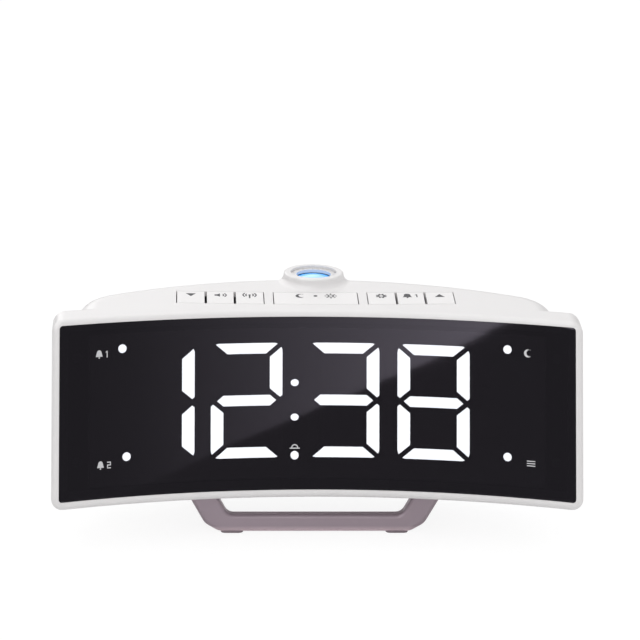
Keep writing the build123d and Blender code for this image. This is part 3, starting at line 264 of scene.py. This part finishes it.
def finish(name, skin, colour, shade, gloss, change=0.06, depth=None, grain=None, patch=None, **own):
    """Material that takes colour, roughness and normal from a skin group."""
    material = bpy.data.materials.new(name)
    material.use_nodes = True
    tree = material.node_tree
    shader = tree.nodes["Principled BSDF"]
    group = tree.nodes.new("ShaderNodeGroup")
    group.node_tree = skin
    group.inputs["Colour"].default_value = (*colour, 1)
    group.inputs["Shade"].default_value = (*shade, 1)
    group.inputs["Gloss"].default_value = gloss
    group.inputs["Gloss Change"].default_value = change
    for label, value in (("Grain Depth", depth), ("Grain Scale", grain), ("Patch Scale", patch)):
        if value is not None:
            group.inputs[label].default_value = value
    tree.links.new(group.outputs["Colour"], shader.inputs["Base Color"])
    tree.links.new(group.outputs["Roughness"], shader.inputs["Roughness"])
    tree.links.new(group.outputs["Normal"], shader.inputs["Normal"])
    for label, value in own.items():
        shader.inputs[label.replace("_", " ")].default_value = value
    return material


def overpaint(material, factor, colour):
    """Lays a second colour over a material's base colour."""
    tree = material.node_tree
    base = tree.nodes["Principled BSDF"].inputs["Base Color"]
    plain = base.links[0].from_socket
    tree.links.new(mix_colours(tree, factor, plain, colour), base)


def glow(material, factor, first, second):
    """Gives a material a glow between two colours."""
    tree = material.node_tree
    colour = mix_colours(tree, factor, first, second)
    tree.links.new(colour, tree.nodes["Principled BSDF"].inputs["Emission Color"])


def make_stand_mauve():
    """Satin mauve coat with a painted highlight, paler and pinker, along the front loop's rounded lower
    edge.
    """
    material = finish(
        "stand_mauve", moulded_skin, (0.43, 0.35, 0.4), (0.4, 0.325, 0.37), gloss=0.33,
        depth=0.01 * MM, grain=1900.0, Metallic=0.2, Sheen_Weight=0.45, Sheen_Roughness=0.35,
        Sheen_Tint=(1.0, 0.88, 0.92, 1),
    )
    tree = material.node_tree
    axes = axes_of(tree, object_place(tree))
    near, far = (stand_front + reach for reach in HIGHLIGHT_REACH)
    highlight_low = stretch(tree, axes["Z"], *HIGHLIGHT_RISE, 1.0, 0.0)
    highlight_front = stretch(tree, axes["Y"], near, far, 1.0, 0.0)
    # Painted highlight: a paler pink band low on the front loop, put in place of light from below
    overpaint(material, calculate(tree, "MULTIPLY", highlight_low, highlight_front), (0.8, 0.64, 0.7, 1))
    return material


def make_lit_diffuser():
    """Milky plastic lit from behind: white, a touch weaker and bluer in soft patches."""
    material = finish(
        "lit_diffuser", moulded_skin, (0.8, 0.8, 0.82), (0.75, 0.77, 0.8), gloss=0.4, depth=0.01 * MM,
        Emission_Strength=10.5,
    )
    tree = material.node_tree
    patches = stretch(tree, noise(tree, object_place(tree), 120.0, 2.0), 0.3, 0.7)
    glow(material, patches, (1.0, 1.0, 1.0, 1), (0.93, 0.96, 1.0, 1))
    return material


def make_window_glass():
    """Smoked acrylic: dark, mirror smooth, with a black print round its edge."""
    material = finish(
        "smoked_window", moulded_skin, (0.11, 0.11, 0.115), (0.105, 0.105, 0.11), gloss=0.02,
        change=0.01, depth=0.0015 * MM, grain=60.0, patch=8.0, Specular_Tint=(0.9, 0.82, 1.0, 1),
        Transmission_Weight=1.0, IOR=1.49,
    )
    tree = material.node_tree
    low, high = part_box("display_lens")
    axes = axes_of(tree, object_place(tree))

    def past(value, edge, sign):
        """One on the far side of an edge, nought on the near side."""
        return stretch(tree, value, edge - sign * BORDER_BLUR, edge + sign * BORDER_BLUR)

    ends = past(calculate(tree, "ABSOLUTE", axes["X"]), high.x - BORDER_SIDE, 1)
    top = past(axes["Z"], high.z - BORDER_LEVEL, 1)
    foot = past(axes["Z"], low.z + BORDER_LEVEL, -1)
    band = calculate(tree, "MAXIMUM", calculate(tree, "MAXIMUM", ends, top), foot)
    overpaint(material, band, (0.03, 0.03, 0.032, 1))
    return material


def make_lens_glass():
    """Coated projector glass with a blue glow that deepens towards the rim."""
    material = finish(
        "lens_glass", moulded_skin, (0.02, 0.12, 0.3), (0.03, 0.14, 0.34), gloss=0.05, change=0.01,
        depth=0.0, Transmission_Weight=0.15, Coat_Weight=0.5, Emission_Strength=1.0,
    )
    tree = material.node_tree
    centre = tree.nodes.new("ShaderNodeMapping")
    centre.inputs["Location"].default_value = (0, -tower_y, 0)
    centre.inputs["Scale"].default_value = (1, 1, 0)
    tree.links.new(object_place(tree), centre.inputs["Vector"])
    reach = tree.nodes.new("ShaderNodeVectorMath")
    reach.operation = "LENGTH"
    tree.links.new(centre.outputs["Vector"], reach.inputs[0])
    fade = stretch(tree, reach.outputs["Value"], *GLOW_REACH)
    glow(material, fade, (0.3, 0.62, 1.0, 1), (0.03, 0.33, 0.85, 1))
    return material


case_white = finish(
    "case_white", moulded_skin, (0.8, 0.785, 0.785), (0.78, 0.765, 0.765), gloss=0.34,
    depth=0.006 * MM, Coat_Weight=0.12, Coat_Roughness=0.2,
)
key_white = finish(
    "key_white", moulded_skin, (0.85, 0.835, 0.835), (0.83, 0.815, 0.815), gloss=0.38, depth=0.008 * MM,
)
black_plastic = finish(
    "black_plastic", moulded_skin, (0.012, 0.012, 0.013), (0.018, 0.018, 0.019), gloss=0.6,
    depth=0.02 * MM,
)
chip_black = finish(
    "chip_black", moulded_skin, (0.02, 0.02, 0.021), (0.03, 0.03, 0.031), gloss=0.5, depth=0.02 * MM,
)
pad_rubber = finish(
    "pad_rubber", moulded_skin, (0.3, 0.25, 0.275), (0.26, 0.215, 0.24), gloss=0.75, depth=0.04 * MM,
)
circuit_green = finish(
    "circuit_green", laminate_skin, (0.01, 0.1, 0.035), (0.03, 0.2, 0.07), gloss=0.32,
)
screw_steel = finish(
    "screw_steel", brushed_skin, (0.5, 0.5, 0.5), (0.42, 0.42, 0.43), gloss=0.34, Metallic=1.0,
)
shield_tin = finish(
    "shield_tin", brushed_skin, (0.62, 0.62, 0.6), (0.55, 0.55, 0.54), gloss=0.3, Metallic=1.0,
)
cell_steel = finish(
    "cell_steel", brushed_skin, (0.68, 0.68, 0.67), (0.6, 0.6, 0.6), gloss=0.2, Metallic=1.0,
)
contact_brass = finish(
    "contact_brass", brushed_skin, (0.75, 0.56, 0.25), (0.66, 0.48, 0.2), gloss=0.28, Metallic=1.0,
)
capacitor_sleeve = finish(
    "capacitor_sleeve", moulded_skin, (0.02, 0.03, 0.1), (0.03, 0.04, 0.12), gloss=0.3,
)
paper_cone = finish(
    "paper_cone", moulded_skin, (0.025, 0.025, 0.026), (0.06, 0.06, 0.062), gloss=0.85,
    depth=0.12 * MM, grain=1400.0,
)
unlit_diffuser = finish(
    "unlit_diffuser", moulded_skin, (0.03, 0.03, 0.032), (0.036, 0.036, 0.038), gloss=0.5,
)
led_resin = finish(
    "led_resin", moulded_skin, (0.75, 0.72, 0.5), (0.8, 0.78, 0.6), gloss=0.15,
)
mark_grey = finish(
    "mark_grey", moulded_skin, (0.03, 0.03, 0.036), (0.045, 0.045, 0.05), gloss=0.55,
)
# Pale print with a weak painted glow: its emission makes the marks brighter than the lamps light them
mark_pale_painted_glow = finish(
    "mark_pale_painted_glow", moulded_skin, (0.55, 0.55, 0.56), (0.5, 0.5, 0.51), gloss=0.5,
    Emission_Color=(0.75, 0.75, 0.77, 1), Emission_Strength=0.1,
)
clear_glass = finish(
    "clear_glass", moulded_skin, (0.9, 0.93, 0.95), (0.88, 0.92, 0.95), gloss=0.03, change=0.01,
    depth=0.0, Transmission_Weight=1.0,
)
stand_mauve = make_stand_mauve()
lit_diffuser = make_lit_diffuser()
window_glass = make_window_glass()
lens_glass = make_lens_glass()

FINISHES = {
    case_white: ["front_housing", "rear_cover", "focus_ring", "battery_tray"],
    key_white: ["key_" + key for key in KEYS],
    window_glass: ["display_lens"],
    black_plastic: ["digit_mask", "lens_cell", "projector_tube", "slide_frame", "battery_holder"],
    lit_diffuser: [
        "hour_tens_segments", "hour_segments", "minute_tens_segments", "minute_segments",
        "colon_lights", "indicator_lights",
    ],
    unlit_diffuser: ["unlit_segments"],
    stand_mauve: ["stand"],
    pad_rubber: ["stand_pads"],
    lens_glass: ["projection_lens"],
    clear_glass: ["lcd_slide", "condenser_lens"],
    circuit_green: ["display_board", "key_board", "projector_led_board", "main_board"],
    chip_black: ["key_switches", "main_chips", "dc_jack"] + ["plunger_" + key for key in KEYS],
    led_resin: ["display_leds", "projector_led"],
    screw_steel: [
        "mask_screws", "display_board_screws", "key_board_screws", "projector_tube_screws",
        "main_board_screws", "rear_cover_screws", "speaker_screws", "stand_screws",
    ],
    shield_tin: ["tuner_shield", "speaker_frame"],
    capacitor_sleeve: ["main_capacitors"],
    cell_steel: ["coin_cell"],
    contact_brass: ["battery_contacts"],
    paper_cone: ["speaker_cone"],
}
chosen = {node: material for material, names in FINISHES.items() for node in names}
for name, node in nodes.items():
    if not node.material_slots:
        node.data.materials.append(chosen[name])
    for place in node.material_slots:
        place.material = chosen[name]


def add_piece(name, mesh, body):
    """New piece at the origin that rides on a body."""
    piece = bpy.data.objects.new(name, mesh)
    bpy.context.scene.collection.objects.link(piece)
    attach(piece, body)


# Fine pieces that repeat, made by a node tree with named sizes


def make_pin_row():
    """Row of gull-wing pins along X: a foot on the board and a shank up to the package."""
    sizes = (
        ("Geometry", "NodeSocketGeometry"),
        ("Start", "NodeSocketVector"),
        ("Pitch", "NodeSocketFloat"),
        ("Count", "NodeSocketInt"),
        ("Foot", "NodeSocketVector"),
        ("Shank", "NodeSocketVector"),
        ("Shank Place", "NodeSocketVector"),
        ("Finish", "NodeSocketMaterial"),
    )
    tree = bpy.data.node_groups.new("pin_row", "GeometryNodeTree")
    for label, kind in sizes:
        tree.interface.new_socket(label, in_out="INPUT", socket_type=kind)
    tree.interface.new_socket("Geometry", in_out="OUTPUT", socket_type="NodeSocketGeometry")
    entry = tree.nodes.new("NodeGroupInput").outputs
    pin = tree.nodes.new("GeometryNodeJoinGeometry")
    for size, place in (("Foot", None), ("Shank", "Shank Place")):
        solid = tree.nodes.new("GeometryNodeMeshCube")
        tree.links.new(entry[size], solid.inputs["Size"])
        shift = tree.nodes.new("GeometryNodeTransform")
        tree.links.new(solid.outputs["Mesh"], shift.inputs["Geometry"])
        if place:
            tree.links.new(entry[place], shift.inputs["Translation"])
        tree.links.new(shift.outputs[0], pin.inputs[0])
    step = tree.nodes.new("ShaderNodeCombineXYZ")
    tree.links.new(entry["Pitch"], step.inputs["X"])
    line = tree.nodes.new("GeometryNodeMeshLine")
    tree.links.new(entry["Count"], line.inputs["Count"])
    tree.links.new(entry["Start"], line.inputs["Start Location"])
    tree.links.new(step.outputs[0], line.inputs["Offset"])
    row = tree.nodes.new("GeometryNodeInstanceOnPoints")
    tree.links.new(line.outputs[0], row.inputs["Points"])
    tree.links.new(pin.outputs[0], row.inputs["Instance"])
    real = tree.nodes.new("GeometryNodeRealizeInstances")
    tree.links.new(row.outputs[0], real.inputs[0])
    coat = tree.nodes.new("GeometryNodeSetMaterial")
    tree.links.new(real.outputs[0], coat.inputs["Geometry"])
    tree.links.new(entry["Finish"], coat.inputs["Material"])
    tree.links.new(coat.outputs[0], tree.nodes.new("NodeGroupOutput").inputs[0])
    return tree


def grown_mesh(tree, values):
    """Plain mesh that a node tree makes from the given values."""
    seed = bpy.data.objects.new("seed", bpy.data.meshes.new("seed"))
    bpy.context.scene.collection.objects.link(seed)
    modifier = seed.modifiers.new("grow", "NODES")
    modifier.node_group = tree
    for item in tree.interface.items_tree:
        if item.in_out == "INPUT" and item.name in values:
            modifier[item.identifier] = values[item.name]
    seed.update_tag()
    bpy.context.view_layer.update()
    grown = seed.evaluated_get(bpy.context.evaluated_depsgraph_get())
    mesh = bpy.data.meshes.new_from_object(grown)
    bpy.data.objects.remove(seed)
    return mesh


def package_boxes(node_name):
    """Lowest and highest corner of each separate solid in a node."""
    build = bmesh.new()
    build.from_mesh(nodes[node_name].data)
    bmesh.ops.remove_doubles(build, verts=build.verts[:], dist=POINT_MERGE)
    reached, boxes = set(), []
    for first in build.verts:
        if first in reached:
            continue
        reached.add(first)
        waiting, places = [first], []
        while waiting:
            corner = waiting.pop()
            places.append(corner.co.copy())
            for edge in corner.link_edges:
                other = edge.other_vert(corner)
                if other not in reached:
                    reached.add(other)
                    waiting.append(other)
        low = Vector([min(place[axis] for place in places) for axis in range(3)])
        high = Vector([max(place[axis] for place in places) for axis in range(3)])
        boxes.append((low, high))
    build.free()
    return boxes


def add_chip_pins():
    """Pins along both long sides of each chip on the main board."""
    pin_row = make_pin_row()
    build = bmesh.new()
    for low, high in package_boxes("main_chips"):
        count = max(FEWEST_PINS, int((high.x - low.x - PIN_FREE) / PIN_PITCH))
        start_x = (low.x + high.x - (count - 1) * PIN_PITCH) / 2
        rise = (high.z - low.z) / 2
        for y, side in ((low.y, -1), (high.y, 1)):
            foot_y = y + side * (PIN_REACH + PIN_THICKNESS) / 2
            build.from_mesh(grown_mesh(pin_row, {
                "Start": (start_x, foot_y, low.z + PIN_THICKNESS / 2),
                "Pitch": PIN_PITCH,
                "Count": count,
                "Foot": (PIN_WIDTH, PIN_REACH, PIN_THICKNESS),
                "Shank": (PIN_WIDTH, PIN_THICKNESS, rise),
                "Shank Place": (0, -side * PIN_REACH / 2, rise / 2),
                "Finish": shield_tin,
            }))
    mesh = bpy.data.meshes.new("chip_pins")
    build.to_mesh(mesh)
    build.free()
    mesh.materials.append(shield_tin)
    add_piece("chip_pins", mesh, "clock_case")


add_chip_pins()

# Printed marks: flat outlines in millimetres, laid on a key or on the window


def round_outline(x, y, radius, start=0.0, turn=360.0, steps=20):
    """Points of a circle or of an arc."""
    last = steps if turn < 360 else steps - 1
    angles = [math.radians(start + turn * step / steps) for step in range(last + 1)]
    return [(x + radius * math.cos(angle), y + radius * math.sin(angle)) for angle in angles]


def arc_band(x, y, radius, width, start, turn, steps=12):
    """Curved stroke."""
    outer = round_outline(x, y, radius + width / 2, start, turn, steps)
    inner = round_outline(x, y, radius - width / 2, start, turn, steps)
    ends = [(step, (step + 1) % len(outer)) for step in range(steps)]
    return [[outer[a], outer[b], inner[b], inner[a]] for a, b in ends]


def bar(x, y, long, wide, turn=0.0):
    """Straight stroke centred on a place."""
    c, s = math.cos(math.radians(turn)), math.sin(math.radians(turn))
    corners = [(u * long / 2, v * wide / 2) for u, v in ((-1, -1), (1, -1), (1, 1), (-1, 1))]
    return [[(x + u * c - v * s, y + u * s + v * c) for u, v in corners]]


def rayed_ring(radius, width, reach, long, wide, first=0.0):
    """Ring with eight strokes that point outwards."""
    shapes = arc_band(0, 0, radius, width, 0, 360, 16)
    for step in range(8):
        angle = first + 45 * step
        x, y = reach * math.cos(math.radians(angle)), reach * math.sin(math.radians(angle))
        shapes += bar(x, y, long, wide, angle)
    return shapes


def moved(shapes, x, y, size=1.0):
    """Shapes scaled and shifted."""
    return [[(x + u * size, y + v * size) for u, v in shape] for shape in shapes]


def arrow(up):
    """Filled triangle."""
    sign = 1 if up else -1
    return [[(-1.05, -0.75 * sign), (1.05, -0.75 * sign), (0, 0.85 * sign)]]


def bell():
    """Alarm bell."""
    body = [(-1.0, -0.7), (1.0, -0.7), (0.72, -0.3), (0.66, 0.4)]
    body += round_outline(0, 0.45, 0.66, 10, 160, 8)
    body += [(-0.66, 0.4), (-0.72, -0.3)]
    return [body] + [round_outline(0, -0.98, 0.22, steps=10)]


def crescent():
    """Moon."""
    steps = 18
    outer = round_outline(0, 0, 1.0, 50, 260, steps)
    inner = round_outline(0.45, 0.1, 0.82, 72, 216, steps)
    return [[outer[k], outer[k + 1], inner[k + 1], inner[k]] for k in range(steps)]


def sun():
    """Sun with rays."""
    return rayed_ring(0.52, 0.26, 0.98, 0.42, 0.24)


def cog():
    """Ring with teeth, for settings."""
    return rayed_ring(0.55, 0.3, 0.86, 0.4, 0.36, 22.5)


def loudspeaker():
    """Loudspeaker with two sound waves."""
    horn = [(-1.3, -0.35), (-0.8, -0.35), (-0.2, -0.85), (-0.2, 0.85), (-0.8, 0.35), (-1.3, 0.35)]
    waves = arc_band(-0.2, 0, 0.75, 0.25, -45, 90, 6) + arc_band(-0.2, 0, 1.25, 0.25, -45, 90, 8)
    return [horn] + waves


def aerial():
    """Radio mast with waves to both sides."""
    waves = []
    for radius in (0.7, 1.2):
        for start in (-45, 135):
            waves += arc_band(0, 0.35, radius, 0.25, start, 90, 8)
    return waves + [round_outline(0, 0.35, 0.26, steps=10)] + bar(0, -0.5, 1.3, 0.28, 90)


def numeral(figure):
    """Plain 1 or 2 drawn with straight strokes."""
    if figure == 1:
        return bar(0, 0, 2.0, 0.3, 90) + bar(-0.22, 0.72, 0.62, 0.28, 42)
    return (
        bar(0, 0.85, 1.2, 0.3) + bar(0.45, 0.42, 1.0, 0.3, 90) + bar(0, 0, 1.2, 0.3)
        + bar(-0.45, -0.42, 1.0, 0.3, 90) + bar(0, -0.85, 1.2, 0.3)
    )


def numbered_bell(figure, shift):
    """Alarm bell with its alarm's number beside it."""
    return moved(bell(), -1.6, 0.1, 1.35) + moved(numeral(figure), shift, 0, 1.25)


def half_sun():
    """Sun behind the horizon, for the hours after noon."""
    return arc_band(0, -0.6, 1.2, 0.42, 0, 180, 12) + bar(0, -0.72, 4.0, 0.42)


def three_bars():
    """Short list, for stored stations."""
    return bar(0, 0.7, 2.6, 0.28) + bar(0, 0, 2.6, 0.28) + bar(0, -0.7, 2.6, 0.28)


def lay_marks(name, shapes, origin, upward, carrier, body, material):
    """Thin printed marks: outlines drawn upright in a plane at origin and pressed onto a node."""
    inward = upward.cross(ACROSS)
    build = bmesh.new()
    for shape in shapes:
        build.faces.new([build.verts.new(origin + ACROSS * u * MM + upward * v * MM) for u, v in shape])
    bmesh.ops.triangulate(build, faces=build.faces[:])
    bmesh.ops.remove_doubles(build, verts=build.verts[:], dist=MARK_MERGE)
    bmesh.ops.recalc_face_normals(build, faces=build.faces[:])
    source = bmesh.new()
    source.from_mesh(nodes[carrier].data)
    target = BVHTree.FromBMesh(source)
    for corner in build.verts:
        hit, _, _, _ = target.ray_cast(corner.co - inward * MARK_RAY, inward)
        if hit is not None:
            corner.co = hit - inward * MARK_GAP
    source.free()
    for face in build.faces:
        if face.normal.dot(inward) > 0:
            face.normal_flip()
    raised = bmesh.ops.extrude_face_region(build, geom=build.faces[:])
    for item in raised["geom"]:
        if isinstance(item, bmesh.types.BMVert):
            item.co -= inward * MARK_THICKNESS
    bmesh.ops.recalc_face_normals(build, faces=build.faces[:])
    mesh = bpy.data.meshes.new(name)
    build.to_mesh(mesh)
    build.free()
    mesh.materials.append(material)
    add_piece(name, mesh, body)


KEY_MARKS = {
    "volume_down": moved(arrow(up=False), 0, 0, 1.9),
    "volume": moved(loudspeaker(), 0.3, 0, 2.0),
    "radio": moved(aerial(), 0, -0.3, 2.2),
    "snooze": (
        moved(crescent(), -6.2, 0, 1.9) + [round_outline(0, 0, 0.8, steps=12)] + moved(sun(), 6.2, 0, 2.1)
    ),
    "set": moved(cog(), 0, 0, 2.1),
    "alarm": moved(bell(), -1.3, 0, 2.0) + moved(numeral(1), 2.6, 0, 1.5),
    "volume_up": moved(arrow(up=True), 0, 0, 1.9),
}
for key, shapes in KEY_MARKS.items():
    low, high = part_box("key_" + key)
    origin = Vector(((low.x + high.x) / 2, low.y + MARK_INSET, high.z))
    lay_marks("mark_" + key, shapes, origin, BACK, "key_" + key, key + "_button", mark_grey)

# Marks beside the small lights, at places seen from the front, millimetres from the window's foot
WINDOW_MARKS = {
    "mark_first_alarm": (numbered_bell(1, 1.5), -84.9, 53.9),
    "mark_second_alarm": (numbered_bell(2, 1.7), -84.2, 12.4),
    "mark_sleep": (moved(crescent(), 0, 0, 1.5), 83.4, 54.6),
    "mark_stations": (moved(three_bars(), 0, 0, 1.25), 84.6, 13.2),
    "mark_afternoon": (half_sun(), -8.9, 16.4),
}
for name, (shapes, x, z) in WINDOW_MARKS.items():
    origin = Vector((x * MM, face_y, rest_height + z * MM))
    lay_marks(name, shapes, origin, UP, "display_lens", "clock_case", mark_pale_painted_glow)


def make_stage():
    """Pale floor that shows near white to the camera and keeps the clock's shadow."""
    mesh = bpy.data.meshes.new("floor")
    corners = [(x * FLOOR_HALF, y * FLOOR_HALF, 0) for x, y in ((-1, -1), (1, -1), (1, 1), (-1, 1))]
    mesh.from_pydata(corners, [], [(0, 1, 2, 3)])
    material = bpy.data.materials.new("floor_paper")
    material.use_nodes = True
    tree = material.node_tree
    shader = tree.nodes["Principled BSDF"]
    shader.inputs["Roughness"].default_value = 0.9
    shader.inputs["Specular IOR Level"].default_value = 0.1
    shader.inputs["Emission Color"].default_value = (1, 1, 1, 1)
    seen = tree.nodes.new("ShaderNodeLightPath").outputs["Is Camera Ray"]
    light_colour, seen_colour = ((level, level, level, 1) for level in (FLOOR_BOUNCE, FLOOR_SEEN))
    tree.links.new(mix_colours(tree, seen, light_colour, seen_colour), shader.inputs["Base Color"])
    shine = calculate(tree, "MULTIPLY", seen, FLOOR_GLOW)
    tree.links.new(shine, shader.inputs["Emission Strength"])
    mesh.materials.append(material)
    floor = bpy.data.objects.new("floor", mesh)
    bpy.context.scene.collection.objects.link(floor)


def place_camera():
    """Camera at the photograph's place."""
    rise, turn, roll = (math.radians(angle) for angle in (CAMERA_RISE, CAMERA_TURN, CAMERA_ROLL))
    level = math.cos(rise)
    forward = Vector((-math.sin(turn) * level, math.cos(turn) * level, -math.sin(rise)))
    right = Vector((math.cos(turn), math.sin(turn), 0))
    upward = right.cross(forward)
    rolled_right = math.cos(roll) * right + math.sin(roll) * upward
    rolled_up = math.cos(roll) * upward - math.sin(roll) * right
    aim = Vector((0, face_y, rest_height + CAMERA_AIM))
    turned = Matrix((rolled_right, rolled_up, -forward)).transposed()
    data = bpy.data.cameras.new("camera")
    data.lens = CAMERA_LENS
    data.sensor_width = CAMERA_SENSOR
    data.clip_start, data.clip_end = CAMERA_CLIP
    camera = bpy.data.objects.new("camera", data)
    camera.matrix_world = Matrix.Translation(aim - CAMERA_REACH * forward) @ turned.to_4x4()
    bpy.context.scene.collection.objects.link(camera)
    bpy.context.scene.camera = camera


def soft_lamp(name, place, power):
    """Square soft lamp that points at the clock."""
    data = bpy.data.lights.new(name, "AREA")
    data.size = LAMP_SIZE
    data.energy = power
    lamp = bpy.data.objects.new(name, data)
    lamp.location = place
    lamp.rotation_mode = "QUATERNION"
    lamp.rotation_quaternion = (LAMP_AIM - Vector(place)).to_track_quat("-Z", "Y")
    bpy.context.scene.collection.objects.link(lamp)


def make_sky():
    """Even white surroundings, with one brighter wedge behind the camera for glossy surfaces."""
    world = bpy.data.worlds.new("studio")
    bpy.context.scene.world = world
    world.use_nodes = True
    tree = world.node_tree
    background = tree.nodes["Background"]
    background.inputs["Color"].default_value = (1, 1, 1, 1)
    direction = tree.nodes.new("ShaderNodeTexCoord").outputs["Generated"]
    side = tree.nodes.new("ShaderNodeVectorMath")
    side.operation = "DOT_PRODUCT"
    side.inputs[1].default_value = SHEEN_SIDE
    tree.links.new(direction, side.inputs[0])
    above = stretch(tree, side.outputs["Value"], SHEEN_EDGE - SHEEN_BLUR, SHEEN_EDGE + SHEEN_BLUR)
    across = stretch(tree, axes_of(tree, direction)["X"], *SHEEN_REACH)
    wedge = calculate(tree, "MULTIPLY", calculate(tree, "POWER", across, SHEEN_FADE), above)
    mirrored = stretch(tree, wedge, 0.0, 1.0, SHEEN_LOW, SHEEN_HIGH)
    path = tree.nodes.new("ShaderNodeLightPath").outputs
    strength = SKY_LIGHT
    for ray, level in (("Is Glossy Ray", mirrored), ("Is Camera Ray", SKY_SEEN)):
        switch = tree.nodes.new("ShaderNodeMix")
        tree.links.new(path[ray], switch.inputs["Factor"])
        feed(tree, strength, switch.inputs["A"])
        feed(tree, level, switch.inputs["B"])
        strength = switch.outputs["Result"]
    tree.links.new(strength, background.inputs["Strength"])


make_stage()
place_camera()
make_sky()
for name, (place, power) in LAMPS.items():
    soft_lamp(name, place, power)
bpy.context.scene.view_settings.view_transform = "Standard"
